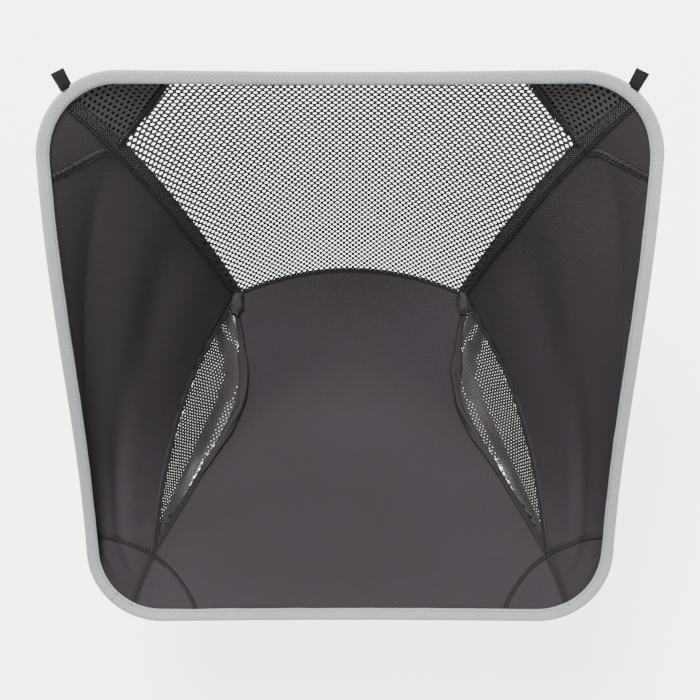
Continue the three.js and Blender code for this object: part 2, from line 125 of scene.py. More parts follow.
# A sewn band's section: (share of its width, share of its height)
BAND_SECTION = (
    (-0.5, 0.15), (-0.42, 0.75), (-0.2, 1.0), (0.0, 0.82), (0.2, 1.0), (0.42, 0.75), (0.5, 0.15),
)
BAND_CLOTH = 0.8
TAB_START = (238, 243.1, 650.5)
TAB_WAY = (0.46, 0.86, 0.22)
TAB_ACROSS = (0.86, -0.36, 0.36)
TAB_LENGTH, TAB_WIDTH, TAB_HALF_GAP, TAB_THICKNESS = 16, 10.5, 2.1, 1.3
# The pleat runs beside the seat seam between these shares of it
PLEAT_SPAN = (0.52, 0.985)
PLEAT_SIZE = (2.5, 8.5)
KNOT_SIZE = (8, 16, 5)
KNOT_SHIFT = (-1.5, -5, 0)

# ---- the frame, in millimetres ----
POLE_RADIUS = 6.25
TUBE_WALL = 1.35
CROSSBAR_RADIUS, CROSSBAR_END = 7, 96.5
FRONT_FOOT = (205, -178, 9.4)
REAR_FOOT = (246, 182, 9.4)
FOOT_BALL, FOOT_NECK, FOOT_LENGTH = 12, 9.4, 30
FOOT_RING = {"count": 3, "first": 9, "spacing": 5.5}
FRONT_TIP = (227, -232, 374)
REAR_BEND = (192, 165, 465)
REAR_TIP = (241, 233.5, 627.5)
TIP_RADIUS, TIP_LENGTH = 7.9, 26
# Share of the straight below the bend at which the rear upright's two tubes meet
REAR_JOINT_SHARE = 0.62
BEND_REACH = 50
HUB_Y, HUB_Z = 3, 215
HUB_RADIUS, HUB_ROUND, SOCKET_RADIUS = 17, 2.2, 9
SOCKET_START, SOCKET_END = 12.35, 44
HUBS = {
    "inner": {"x": 106, "disc": (97, 119), "body": "back_frame", "poles": (REAR_BEND, FRONT_FOOT)},
    "outer": {"x": 132, "disc": (123, 145), "body": "seat_frame", "poles": (FRONT_TIP, REAR_FOOT)},
}
LEGS = {"front": ("inner", FRONT_FOOT), "rear": ("outer", REAR_FOOT)}
BOLT_START, BOLT_RADIUS, BOLT_DEPTH = 143, 7.4, 6.3
BOLT_KEY, BOLT_KEY_DEPTH = 3.2, 2.2

# ---- the stage, in metres ----
CAMERA_PLACE = (0, 0.0235, 1.76)
CAMERA_LENS = 67.886
FLOOR_REACH = 4.0
FLOOR_GLOW = 3.4
SKY_STRENGTH = 0.36
# Each light: place, diameter, power in watts
LIGHTS = {
    "key_light": ((-0.35, 0.95, 2.6), 0.8, 165),
    "fill_light": ((0.9, -1.0, 2.3), 1.5, 24),
}


# ---- settings ----
class ChairSling(bpy.types.PropertyGroup):
    cloth_thickness: FloatProperty(
        name="Cloth thickness", description="Thickness of the woven panels",
        default=0.9 * MM, unit="LENGTH",
    )
    net_pitch_x: FloatProperty(
        name="Net pitch across", description="Distance between two holes along a row",
        default=6.3 * MM, unit="LENGTH",
    )
    net_pitch_y: FloatProperty(
        name="Net pitch down", description="Distance between every second row of holes",
        default=9.6 * MM, unit="LENGTH",
    )
    net_hole: FloatProperty(
        name="Net hole share", description="Share of each cell that is open",
        default=0.5, subtype="FACTOR",
    )
    net_thickness: FloatProperty(
        name="Net thickness", description="Height of a net strand",
        default=0.9 * MM, unit="LENGTH",
    )
    binding_width: FloatProperty(
        name="Binding width", description="Width of the tape that edges the sling",
        default=11.5 * MM, unit="LENGTH",
    )
    stitch_length: FloatProperty(
        name="Stitch length", description="Length of one stitch",
        default=2.6 * MM, unit="LENGTH",
    )
    stitch_gap: FloatProperty(
        name="Stitch spacing", description="Distance from one stitch to the next",
        default=3.6 * MM, unit="LENGTH",
    )


def colour_property(name, description, default):
    return FloatVectorProperty(
        name=name, description=description, default=default, subtype="COLOR", size=3, min=0, max=1,
    )


class ChairColours(bpy.types.PropertyGroup):
    cloth: colour_property("Cloth", "Charcoal woven panels", (0.0235, 0.0198, 0.0232))
    net: colour_property("Net", "Strands of the net panels", (0.027, 0.0245, 0.0235))
    binding: colour_property("Binding", "Pale tape round the rim", (0.272, 0.279, 0.296))
    webbing: colour_property("Webbing", "Black pull tabs", (0.005, 0.0045, 0.0045))
    pole: colour_property("Pole", "Dark anodised tubes", (0.016, 0.016, 0.018))
    plastic: colour_property("Plastic", "Hubs and tips", (0.011, 0.0115, 0.0125))
    rubber: colour_property("Rubber", "Feet", (0.008, 0.008, 0.008))


# ---- small helpers ----
def millimetres(point, side=1):
    return Vector((point[0] * side, point[1], point[2])) * MM


def mix(a, b, t):
    return a + (b - a) * t


def smooth_step(low, high, value):
    t = min(max((value - low) / (high - low), 0.0), 1.0)
    return t * t * (3 - 2 * t)


def hump(value, centre, width):
    return math.exp(-(((value - centre) / width) ** 2))


def bezier(points, t):
    a, b, c = points
    return a * (1 - t) ** 2 + b * (2 * t * (1 - t)) + c * t * t


def centripetal(points):
    """A smooth curve through the points, at equal steps of t from one to the next."""
    ends = [points[0] * 2 - points[1]] + list(points) + [points[-1] * 2 - points[-2]]

    def at(t):
        spans = len(points) - 1
        place = min(max(t, 0.0), 1.0) * spans
        i = min(int(place), spans - 1)
        p = ends[i:i + 4]
        gaps = [math.sqrt((p[k + 1] - p[k]).length) for k in range(3)]
        ta, tb = gaps[0], gaps[0] + gaps[1]
        tc = tb + gaps[2]
        w = ta + (tb - ta) * (place - i)
        a1 = p[0] * ((ta - w) / ta) + p[1] * (w / ta)
        a2 = p[1] * ((tb - w) / (tb - ta)) + p[2] * ((w - ta) / (tb - ta))
        a3 = p[2] * ((tc - w) / (tc - tb)) + p[3] * ((w - tb) / (tc - tb))
        b1 = a1 * ((tb - w) / tb) + a2 * (w / tb)
        b2 = a2 * ((tc - w) / (tc - ta)) + a3 * ((w - ta) / (tc - ta))
        return b1 * ((tb - w) / (tb - ta)) + b2 * ((w - ta) / (tb - ta))

    return at


# ---- rim and seams ----
def rim_height(y):
    t = (y + HALF_DEPTH) / (2 * HALF_DEPTH)
    eased = t - RIM_EASE * math.sin(2 * math.pi * t) / (2 * math.pi)
    return mix(FRONT_HEIGHT, BACK_HEIGHT, eased)


def edge_plan(t, half_along, half_across):
    """Place along a rounded edge and distance out, between the middles of two corners."""
    straight = half_along - CORNER_RADIUS
    reach = abs(2 * t - 1) * (straight + CORNER_RADIUS * math.pi / 4)
    sign = 1 if t >= 0.5 else -1
    if reach <= straight:
        return sign * reach, half_across
    angle = (reach - straight) / CORNER_RADIUS
    along = straight + CORNER_RADIUS * math.sin(angle)
    return sign * along, half_across - CORNER_RADIUS * (1 - math.cos(angle))


def end_rim(t, end):
    x, out = edge_plan(t, HALF_WIDTH, HALF_DEPTH)
    sag = FRONT_SAG if end < 0 else BACK_SAG
    dip = sag * math.cos(math.pi * x / (2 * HALF_WIDTH)) ** 2
    return millimetres((x, end * out, rim_height(end * out) - dip))


def side_rim(t, side):
    y, out = edge_plan(t, HALF_DEPTH, HALF_WIDTH)
    return millimetres((side * out, y, rim_height(y)))


def front_edge(u):
    """The front edge between the two corner seams."""
    return end_rim(mix(FRONT_SHARE, 1 - FRONT_SHARE, u), -1)


def side_edge(u, side):
    """The side edge, from its corner seam on the front edge to the middle of the back corner."""
    if u >= SIDE_SHARE:
        return side_rim((u - SIDE_SHARE) / (1 - SIDE_SHARE), side)
    t = FRONT_SHARE * (1 - u / SIDE_SHARE)
    return end_rim(t if side < 0 else 1 - t, -1)


def lower_seam(side):
    inner = [millimetres(p, side) for p in (CROSSING, *LOWER_SEAM, PINCH)]
    return centripetal([side_edge(0, side), *inner])


def upper_seam(side):
    return centripetal([millimetres(p, side) for p in (CROSSING, *UPPER_SEAM, PINCH)])


def back_seam(side):
    points = (millimetres(PINCH, side), millimetres(BACK_SEAM_PULL, side), side_rim(1, side))
    return lambda t: bezier(points, t)


def arc_seam():
    points = (millimetres(PINCH, -1), millimetres(ARC_SEAM_PULL), millimetres(PINCH, 1))
    return lambda t: bezier(points, t)


# ---- cloth surfaces: each takes u and v from 0 to 1 ----
def coons(low, high, start, end):
    """A patch that meets all four of its edges."""
    corners = (low(0), low(1), high(0), high(1))

    def at(u, v):
        point = low(u) * (1 - v) + high(u) * v + start(v) * (1 - u) + end(v) * u
        point -= corners[0] * ((1 - u) * (1 - v)) + corners[1] * (u * (1 - v))
        return point - corners[2] * ((1 - u) * v) - corners[3] * (u * v)

    return at


def swell(u, v):
    return math.sin(math.pi * u) * math.sin(math.pi * v)


def seat_surface():
    flat = coons(front_edge, arc_seam(), lower_seam(-1), lower_seam(1))

    def at(u, v):
        point = flat(u, v)
        waves = 2.6 * math.sin(5.2 * math.pi * v + 0.6 * math.sin(3 * u)) * swell(u, v) ** 0.7
        soft = 2.2 * noise.noise(Vector((u * 3.1, v * 2.4, 4.2))) * swell(u, v) ** 0.5
        point.z += (-SEAT_SAG * swell(u, v) + waves + soft) * MM
        return point

    return at


def back_surface():
    flat = coons(arc_seam(), lambda u: end_rim(u, 1), back_seam(-1), back_seam(1))

    def at(u, v):
        point = flat(u, v)
        point.y += BACK_HOLLOW * swell(u, v) * MM
        return point

    return at


def pole_fold(v, line):
    """A fold under the line between two pole tips: steep outside it, slack inside it."""
    if v > line:
        return FOLD_DEPTH * ((1 - v) / (1 - line)) ** 2.2
    return FOLD_DEPTH * max(1 - (line - v) / FOLD_REACH, 0) ** 1.4


def side_surface(side):
    lower = lower_seam(side)
    flat = coons(
        upper_seam(side),
        lambda u: side_edge(u, side),
        lambda v: lower(CORNER_SHARE * (1 - v)),
        back_seam(side),
    )

    def at(u, v):
        point = flat(u, v)
        hold = swell(u, v) ** 0.5
        out = SIDE_BULGE * swell(u, v)
        out += pole_fold(v, 0.75 + 0.03 * side - 0.06 * u) * smooth_step(0.02, 0.2, u) * hold
        out += 9.0 * hump(v, 0.2 + 0.1 * u, 0.1) * smooth_step(0.45, 0.9, u) * hold
        out += 3.4 * hump(v, 0.46 - 0.15 * u, 0.08) * (1 - smooth_step(0.3, 0.75, u)) * hold
        out += 1.6 * noise.noise(Vector((u * 3.3, v * 3.7, 7.7 + side))) * hold
        return point + Vector((side * out, 0, -out)) * MM

    return at


def leaf_surface(edge_a, edge_b, slack):
    """A leaf-shaped piece between two edges that meet at both ends."""
    return lambda u, v: edge_a(u).lerp(edge_b(u), v) + slack(u, v)


def gusset_surface(side):
    lower, upper = lower_seam(side), upper_seam(side)

    def slack(u, v):
        pleats = 4.5 * math.sin(9 * u + 5 * v + 1.2 * side) + 2.4 * math.sin(23 * u - 6 * v)
        crumple = 3.0 * noise.noise(Vector((u * 9, v * 3, 2.1 * side)))
        drop = (GUSSET_SLACK + 6 * hump(u, 0.8, 0.12)) * swell(u, v)
        return Vector((side * pleats * 0.5, 0, pleats)) * (MM * swell(u, v)) + Vector(
            (0, 0, (crumple * swell(u, v) ** 0.5 - drop) * MM)
        )

    return leaf_surface(lambda u: lower(mix(CORNER_SHARE, 1, u)), upper, slack)


def pocket_edges(side, end, pocket, corner):
    """The rim part and the open edge of a corner pocket, both from the end rim to the side rim."""
    end_share = pocket["along_end"] / HALF_WIDTH
    side_share = pocket["along_side"] / HALF_DEPTH

    def rim(u):
        if u < 0.5:
            return end_rim(0.5 + side / 2 * mix(end_share, 1, 2 * u), end)
        return side_rim(0.5 + end / 2 * mix(1, side_share, 2 * u - 1), side)

    first, last = rim(0), rim(1)
    pull = corner * 2 - (first + last) * 0.5
    return rim, lambda u: bezier((first, pull, last), u)


def pocket_surface(side, end, pocket, corner, away):
    rim, opening = pocket_edges(side, end, pocket, corner)

    def slack(u, v):
        deep = max(math.sin(math.pi * u), 0) ** 0.6 * max(math.sin(math.pi * v / 2), 0) ** 0.62
        under = Vector((-side * 0.3, -end * 0.3, -1)) * (POCKET_DROP * MM * (1 - v))
        return away * (pocket["depth"] * MM * deep) + under

    return leaf_surface(rim, opening, slack)


def rim_point(t):
    """The whole rim from t = 0 to 1, from the left end of the front round to the right."""
    quarter, local = int(t * 4) % 4, (t * 4) % 1
    if quarter == 0:
        return end_rim(local, -1)
    if quarter == 1:
        return side_rim(local, 1)
    if quarter == 2:
        return end_rim(1 - local, 1)
    return side_rim(1 - local, -1)


def surface_normal(surface, u, v):
    step = 1e-3
    du = surface(min(u + step, 1), v) - surface(max(u - step, 0), v)
    dv = surface(u, min(v + step, 1)) - surface(u, max(v - step, 0))
    return du.cross(dv).normalized()


# ---- meshes ----
def placed(name, mesh):
    """A mesh as an object of the scene, at the origin."""
    obj = bpy.data.objects.new(name, mesh)
    bpy.context.scene.collection.objects.link(obj)
    return obj


def new_object(name, verts, faces, uvs=None, smooth=True):
    mesh = bpy.data.meshes.new(name)
    mesh.from_pydata([tuple(v) for v in verts], [], faces)
    if uvs:
        layer = mesh.uv_layers.new(name="cloth")
        for loop in mesh.loops:
            layer.data[loop.index].uv = uvs[loop.vertex_index]
    for face in mesh.polygons:
        face.use_smooth = smooth
    mesh.update()
    return placed(name, mesh)


def grid_faces(count_u, count_v, flip=False):
    faces = []
    for i in range(count_u):
        for j in range(count_v):
            a = i * (count_v + 1) + j
            face = (a, a + count_v + 1, a + count_v + 2, a + 1)
            faces.append(face[::-1] if flip else face)
    return faces


def ring_faces(rings, sides, closed=False):
    """The faces between rings of points, round each ring and, if closed, back to the first."""
    faces = []
    for i in range(rings if closed else rings - 1):
        ahead = (i + 1) % rings
        for k in range(sides):
            n = (k + 1) % sides
            faces.append((i * sides + k, i * sides + n, ahead * sides + n, ahead * sides + k))
    return faces


def cloth_patch(name, surface, count_u, count_v, flip=False, lift=0.0):
    """A sheet over a whole surface, moved off it by lift, with a flat map in metres."""
    verts, uvs = [], []
    width = (surface(0, 0.5) - surface(1, 0.5)).length
    height = (surface(0.5, 0) - surface(0.5, 1)).length
    for i in range(count_u + 1):
        for j in range(count_v + 1):
            u, v = i / count_u, j / count_v
            point = surface(u, v)
            if lift:
                point = point + surface_normal(surface, u, v) * (-lift if flip else lift)
            verts.append(point)
            uvs.append((u * width, v * height))
    return new_object(name, verts, grid_faces(count_u, count_v, flip), uvs)


def solidify(obj, thickness, offset=0.0):
    modifier = obj.modifiers.new("thickness", "SOLIDIFY")
    modifier.thickness = thickness
    modifier.offset = offset
    return obj


def applied(obj):
    """The object with its modifiers worked into a plain mesh."""
    graph = bpy.context.evaluated_depsgraph_get()
    mesh = bpy.data.meshes.new_from_object(obj.evaluated_get(graph))
    obj.modifiers.clear()
    obj.data = mesh
    obj.data.name = obj.name
    return obj


def sweep(points, radius, bore, sides=32):
    """A tube of even wall along points, open at both ends."""
    verts, faces = [], []
    tangents = [
        (points[min(i + 1, len(points) - 1)] - points[max(i - 1, 0)]).normalized()
        for i in range(len(points))
    ]
    side = tangents[0].orthogonal().normalized()
    for point, tangent in zip(points, tangents):
        side = (side - tangent * side.dot(tangent)).normalized()
        up = tangent.cross(side)
        for reach in (radius, bore):
            for k in range(sides):
                angle = 2 * math.pi * k / sides
                verts.append(point + (side * math.cos(angle) + up * math.sin(angle)) * reach)
    ring = 2 * sides
    last = (len(points) - 1) * ring
    for k in range(sides):
        n = (k + 1) % sides
        for i in range(0, last, ring):
            faces.append((i + k, i + n, i + ring + n, i + ring + k))
            inner = (i + sides + k, i + sides + n, i + ring + sides + n, i + ring + sides + k)
            faces.append(inner[::-1])
        faces.append((k, sides + k, sides + n, n))
        faces.append((last + k, last + n, last + sides + n, last + sides + k))
    return verts, faces


def round_end(radius, turn, steps):
    """The profile of a ball from its pole round by a turn in radians."""
    angles = [turn * k / steps for k in range(1, steps + 1)]
    return [(0, -radius)] + [(radius * math.sin(a), -radius * math.cos(a)) for a in angles]


def lathe(profile, start, way, sides=32):
    """A closed turned solid: profile is [(radius, distance along)] in mm, from axis to axis."""
    way = way.normalized()
    side = way.orthogonal().normalized()
    up = way.cross(side)
    verts, faces, rings = [], [], []
    for radius, along in profile:
        middle = start + way * (along * MM)
        if radius == 0:
            rings.append([len(verts)])
            verts.append(middle)
            continue
        rings.append(list(range(len(verts), len(verts) + sides)))
        for k in range(sides):
            angle = 2 * math.pi * k / sides
            verts.append(middle + (side * math.cos(angle) + up * math.sin(angle)) * (radius * MM))
    for low, high in zip(rings, rings[1:]):
        for k in range(sides):
            n = (k + 1) % sides
            if len(low) == 1:
                faces.append((low[0], high[n], high[k]))
            elif len(high) == 1:
                faces.append((low[k], low[n], high[0]))
            else:
                faces.append((low[k], low[n], high[n], high[k]))
    return verts, faces


def joined(*parts):
    """Several (verts, faces) as one."""
    verts, faces = [], []
    for part_verts, part_faces in parts:
        base = len(verts)
        verts.extend(part_verts)
        faces.extend(tuple(base + k for k in face) for face in part_faces)
    return verts, faces


def outward(obj):
    """Turns every closed shell of a mesh so that its faces point out."""
    work = bmesh.new()
    work.from_mesh(obj.data)
    bmesh.ops.remove_doubles(work, verts=work.verts, dist=1e-6)
    bmesh.ops.recalc_face_normals(work, faces=work.faces)
    work.to_mesh(obj.data)
    work.free()
    return obj


def sharp_above(obj, degrees=35):
    obj.data.shade_smooth()
    obj.data.set_sharp_from_angle(angle=math.radians(degrees))
    return obj


# ---- materials ----
def add_node(tree, kind, inputs, settings):
    """A new node; an input that is a socket is linked, any other is a value."""
    node = tree.nodes.new(kind)
    for key, value in settings.items():
        setattr(node, key, value)
    for key, value in (inputs or {}).items():
        if isinstance(value, bpy.types.NodeSocket):
            tree.links.new(value, node.inputs[key])
        else:
            node.inputs[key].default_value = value
    return node


class Nodes:
    """Short names for building a material's nodes."""

    def __init__(self, name):
        self.material = bpy.data.materials.new(name)
        self.material.use_nodes = True
        self.tree = self.material.node_tree
        self.shader = self.tree.nodes["Principled BSDF"]

    def add(self, kind, inputs=None, **settings):
        return add_node(self.tree, kind, inputs, settings)

    def finished(self, colour, roughness, normal=None, **values):
        """Links the shader's sockets, sets its plain values and gives back the material."""
        self.tree.links.new(colour, self.shader.inputs["Base Color"])
        if roughness:
            self.tree.links.new(roughness, self.shader.inputs["Roughness"])
        if normal:
            self.tree.links.new(normal, self.shader.inputs["Normal"])
        for key, value in values.items():
            self.shader.inputs[key.replace("_", " ")].default_value = value
        return self.material

    def coordinates(self, output="Object"):
        return self.add("ShaderNodeTexCoord").outputs[output]

    def multiply(self, a, b):
        return self.add("ShaderNodeMath", {0: a, 1: b}, operation="MULTIPLY").outputs[0]

    def noise(self, scale, detail=2.0):
        """Noise in the piece's own space."""
        inputs = {"Vector": self.coordinates(), "Scale": scale, "Detail": detail}
        return self.add("ShaderNodeTexNoise", inputs).outputs["Fac"]

    def weave(self, turns_x, turns_y):
        """Crossed sine waves on the cloth's own flat map, in radians to the metre."""
        flat = self.add("ShaderNodeSeparateXYZ", {"Vector": self.coordinates("UV")})
        waves = []
        for key, turns in (("X", turns_x), ("Y", turns_y)):
            scaled = self.multiply(flat.outputs[key], turns)
            waves.append(self.add("ShaderNodeMath", {0: scaled}, operation="SINE").outputs[0])
        return self.multiply(*waves)

    def ramp(self, factor, low, high, low_value, high_value):
        span = {"From Min": low, "From Max": high, "To Min": low_value, "To Max": high_value}
        return self.add("ShaderNodeMapRange", {"Value": factor, **span}).outputs["Result"]

    def tint(self, colour, factor):
        """The colour made lighter or darker by a factor socket."""
        inputs = {"Value": factor, "Color": (*colour, 1)}
        return self.add("ShaderNodeHueSaturation", inputs).outputs["Color"]

    def bump(self, height, distance, strength=1.0, normal=None):
        inputs = {"Height": height, "Distance": distance, "Strength": strength}
        if normal:
            inputs["Normal"] = normal
        return self.add("ShaderNodeBump", inputs).outputs["Normal"]


def woven_cloth(name, colour, sheen=0.015):
    """Plain weave on the cloth's own flat map, with slub, soft fading and fuzz."""
    n = Nodes(name)
    weave = n.weave(2600.0, 2600.0)
    fading, slub = n.noise(7.0), n.noise(900.0)
    shade = n.multiply(n.ramp(fading, 0.3, 0.7, 0.95, 1.05), n.ramp(slub, 0.3, 0.7, 0.84, 1.16))
    shade = n.multiply(shade, n.ramp(weave, -1, 1, 0.86, 1.14))
    normal = n.bump(weave, 0.00018, 0.8, n.bump(fading, 0.002, 0.3))
    return n.finished(
        n.tint(colour, shade), n.ramp(slub, 0.3, 0.7, 0.56, 0.7), normal,
        Sheen_Weight=sheen, Sheen_Roughness=0.35, Specular_IOR_Level=0.14,
    )


def yarn(name, colour):
    """Twisted polyester yarn, as in the net's strands, stitches and shock cord."""
    n = Nodes(name)
    twist, patch = n.noise(1600.0), n.noise(14.0, 3.0)
    shade = n.multiply(n.ramp(twist, 0.3, 0.7, 0.8, 1.2), n.ramp(patch, 0.3, 0.7, 0.88, 1.12))
    return n.finished(
        n.tint(colour, shade), n.ramp(twist, 0.3, 0.7, 0.48, 0.66), n.bump(twist, 0.00025, 0.7),
        Sheen_Weight=0.02, Specular_IOR_Level=0.25,
    )


def doubled_net(name, colour):
    """Two layers of net on each other: dark, with a staggered fleck where the strands cross; the
    fleck is painted highlight on the strands, and the dark between is painted shade in the holes.
    """
    n = Nodes(name)
    turns = 2 * math.pi / (2.6 * MM)
    knit = n.weave(turns, 0.8 * turns)
    uneven = n.noise(520.0)
    # Painted light: the strand crossings are lightened as painted highlight and the ground between
    # them is darkened as painted shade.
    fleck = n.multiply(n.ramp(knit, 0.1, 0.8, 0.35, 2.3), n.ramp(uneven, 0.3, 0.7, 0.6, 1.4))
    return n.finished(
        n.tint(colour, fleck), n.ramp(uneven, 0.3, 0.7, 0.5, 0.7), n.bump(knit, 0.0006, 0.9),
        Specular_IOR_Level=0.2,
    )


def tape(name, colour, ribs=1500.0):
    """Woven tape: fine crossed ribs and slight soiling."""
    n = Nodes(name)
    soil, fleck = n.noise(38.0, 5.0), n.noise(520.0)
    shade = n.multiply(n.ramp(soil, 0.3, 0.75, 1.03, 0.94), n.ramp(fleck, 0.3, 0.7, 0.94, 1.05))
    return n.finished(
        n.tint(colour, shade), n.ramp(fleck, 0.3, 0.7, 0.72, 0.88),
        n.bump(n.weave(ribs, ribs), 0.0002, 0.7),
        Sheen_Weight=0.02, Specular_IOR_Level=0.15,
    )


def anodised(name, colour):
    """Dark anodised tube: satin, with fine drawing lines and small handling scuffs."""
    n = Nodes(name)
    scuff, fine = n.noise(60.0, 8.0), n.noise(900.0)
    return n.finished(
        n.tint(colour, n.ramp(scuff, 0.35, 0.75, 0.85, 1.35)),
        n.ramp(scuff, 0.3, 0.75, 0.28, 0.46), n.bump(fine, 0.00003, 0.5),
        Metallic=0.75, Specular_IOR_Level=0.5,
    )


def moulded(name, colour, roughness=0.5, grain=700.0, depth=0.00008):
    """Moulded plastic or rubber with a spark-eroded grain and rubbed edges."""
    n = Nodes(name)
    texture, dust = n.noise(grain, 3.0), n.noise(45.0, 6.0)
    edge = n.add("ShaderNodeNewGeometry").outputs["Pointiness"]
    shade = n.multiply(n.ramp(dust, 0.35, 0.75, 0.9, 1.25), n.ramp(edge, 0.52, 0.6, 1.0, 1.6))
    return n.finished(
        n.tint(colour, shade), n.ramp(dust, 0.3, 0.7, roughness - 0.06, roughness + 0.1),
        n.bump(texture, depth, 0.8),
    )


def steel(name):
    """Bright turned steel, unevenly polished."""
    n = Nodes(name)
    turned = n.noise(300.0, 4.0)
    shade = n.tint((0.5, 0.51, 0.53), n.ramp(turned, 0.3, 0.7, 0.85, 1.1))
    return n.finished(shade, n.ramp(turned, 0.3, 0.7, 0.26, 0.42), Metallic=1.0)


def floor_white(name):
    """A white floor that glows a little, so that it stays pale under the chair."""
    n = Nodes(name)
    shade = n.tint((0.9, 0.9, 0.9), n.ramp(n.noise(2.0), 0, 1, 0.99, 1.01))
    glow = {"Emission_Color": (1, 1, 1, 1), "Emission_Strength": FLOOR_GLOW}
    return n.finished(shade, None, Roughness=0.95, **glow)


MAKERS = {
    "woven_cloth": lambda c: woven_cloth("woven_cloth", c.cloth),
    "hem_cloth": lambda c: woven_cloth("hem_cloth", [0.8 * x for x in c.cloth], sheen=0.01),
    "net_yarn": lambda c: yarn("net_yarn", c.net),
    "doubled_net": lambda c: doubled_net("doubled_net", c.net),
    "thread": lambda c: yarn("thread", [0.42 * x for x in c.cloth]),
    "pale_thread": lambda c: yarn("pale_thread", [0.68 * x for x in c.binding]),
    "binding_tape": lambda c: tape("binding_tape", c.binding),
    "black_webbing": lambda c: tape("black_webbing", c.webbing, 2600.0),
    "anodised_tube": lambda c: anodised("anodised_tube", c.pole),
    "hub_plastic": lambda c: moulded("hub_plastic", c.plastic),
    "foot_rubber": lambda c: moulded("foot_rubber", c.rubber, 0.82, 420.0, 0.00015),
    "satin_steel": lambda c: steel("satin_steel"),
    "floor_white": lambda c: floor_white("floor_white"),
}


def finish(name):
    """The named material, made the first time that it is asked for."""
    found = bpy.data.materials.get(name)
    return found or MAKERS[name](bpy.context.scene.chair_colours)


def paint(obj, name):
    obj.data.materials.clear()
    obj.data.materials.append(finish(name))
    return obj


def on_sling(obj, slot, *replaced):
    """A cloth piece, with its placing baked into its mesh and the parts that it replaces hidden."""
    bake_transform(obj)
    if replaced:
        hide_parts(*replaced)
    return obj


def on_body(obj, body, slot, *replaced):
    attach(obj, body)
    if replaced:
        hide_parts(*replaced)
    return obj


# ---- geometry nodes ----
class Tree:
    """Short names for building a geometry tree with one mesh input."""

    def __init__(self, name):
        self.group = bpy.data.node_groups.new(name, "GeometryNodeTree")
        face = self.group.interface
        face.new_socket("Geometry", in_out="INPUT", socket_type="NodeSocketGeometry")
        face.new_socket("Geometry", in_out="OUTPUT", socket_type="NodeSocketGeometry")
        self.ids = {}
        self.entry = self.group.nodes.new("NodeGroupInput")
        self.exit = self.group.nodes.new("NodeGroupOutput")

    def size(self, name, default):
        socket = self.group.interface.new_socket(
            name, in_out="INPUT", socket_type="NodeSocketFloat"
        )
        socket.default_value = default
        self.ids[name] = socket.identifier
        return self.entry.outputs[name]

    def add(self, kind, inputs=None, **settings):
        return add_node(self.group, kind, inputs, settings)

    def end(self, geometry, material):
        real = self.add("GeometryNodeRealizeInstances", {0: geometry})
        inputs = {"Geometry": real.outputs[0], "Material": material}
        done = self.add("GeometryNodeSetMaterial", inputs)
        self.group.links.new(done.outputs[0], self.exit.inputs[0])

    def run(self, obj, sizes=None):
        modifier = obj.modifiers.new("tree", "NODES")
        modifier.node_group = self.group
        for name, value in (sizes or {}).items():
            modifier[self.ids[name]] = value
        return applied(obj)


def net_tree(material):
    """Turns a sheet whose corners are hole centres into a knitted net with six-sided holes."""
    tree = Tree("net")
    hole = tree.size("Hole share", 0.66)
    thick = tree.size("Thickness", 0.0009)
    cells = tree.add("GeometryNodeDualMesh", {0: tree.entry.outputs[0]}).outputs[0]
    normal = tree.add("GeometryNodeInputNormal").outputs[0]
    halves = []
    for sign in (0.5, -0.5):
        rise = tree.add("ShaderNodeMath", {0: thick, 1: sign}, operation="MULTIPLY").outputs[0]
        fall = tree.add("ShaderNodeMath", {0: thick, 1: -sign}, operation="MULTIPLY").outputs[0]
        offset = tree.add("ShaderNodeVectorMath", {0: normal, "Scale": rise}, operation="SCALE")
        moved = tree.add(
            "GeometryNodeSetPosition", {"Geometry": cells, "Offset": offset.outputs[0]}
        ).outputs[0]
        ring = tree.add(
            "GeometryNodeExtrudeMesh",
            {"Mesh": moved, "Offset Scale": fall, "Individual": True},
            mode="FACES",
        )
        shrunk = tree.add(
            "GeometryNodeScaleElements",
            {"Geometry": ring.outputs["Mesh"], "Selection": ring.outputs["Top"], "Scale": hole},
        )
        open_net = tree.add(
            "GeometryNodeDeleteGeometry",
            {"Geometry": shrunk.outputs[0], "Selection": ring.outputs["Top"]},
            domain="FACE",
        ).outputs[0]
        if sign < 0:
            open_net = tree.add("GeometryNodeFlipFaces", {0: open_net}).outputs[0]
        halves.append(open_net)
    both = tree.add("GeometryNodeJoinGeometry")
    for half in reversed(halves):
        tree.group.links.new(half, both.inputs[0])
    whole = tree.add("GeometryNodeMergeByDistance", {0: both.outputs[0], "Distance": 1e-6})
    soft = tree.add("GeometryNodeSetShadeSmooth", {0: whole.outputs[0], "Shade Smooth": True})
    tree.end(soft.outputs[0], material)
    return tree


def stitch_tree(material):
    """Sets a small rounded stitch at even steps along every edge line of the input."""
    tree = Tree("stitches")
    length = tree.size("Length", 0.0026)
    spacing = tree.size("Spacing", 0.0036)
    radius = tree.size("Radius", 0.00042)
    lines = tree.add("GeometryNodeMeshToCurve", {0: tree.entry.outputs[0]}).outputs[0]
    steps = tree.add("GeometryNodeResampleCurve", {"Curve": lines, "Length": spacing}, mode="LENGTH")
    tangent = tree.add("GeometryNodeInputTangent").outputs[0]
    turn = tree.add("FunctionNodeAlignEulerToVector", {"Vector": tangent}, axis="Z")
    stitch = tree.add(
        "GeometryNodeMeshCylinder",
        {"Vertices": 6, "Radius": radius, "Depth": length},
        fill_type="TRIANGLE_FAN",
    ).outputs["Mesh"]
    placed = tree.add(
        "GeometryNodeInstanceOnPoints",
        {"Points": steps.outputs[0], "Instance": stitch, "Rotation": turn.outputs[0]},
    )
    tree.end(placed.outputs[0], material)
    return tree


def distances(points):
    """The distance along a line of points to each of them."""
    along = [0.0]
    for a, b in zip(points, points[1:]):
        along.append(along[-1] + (b - a).length)
    return along


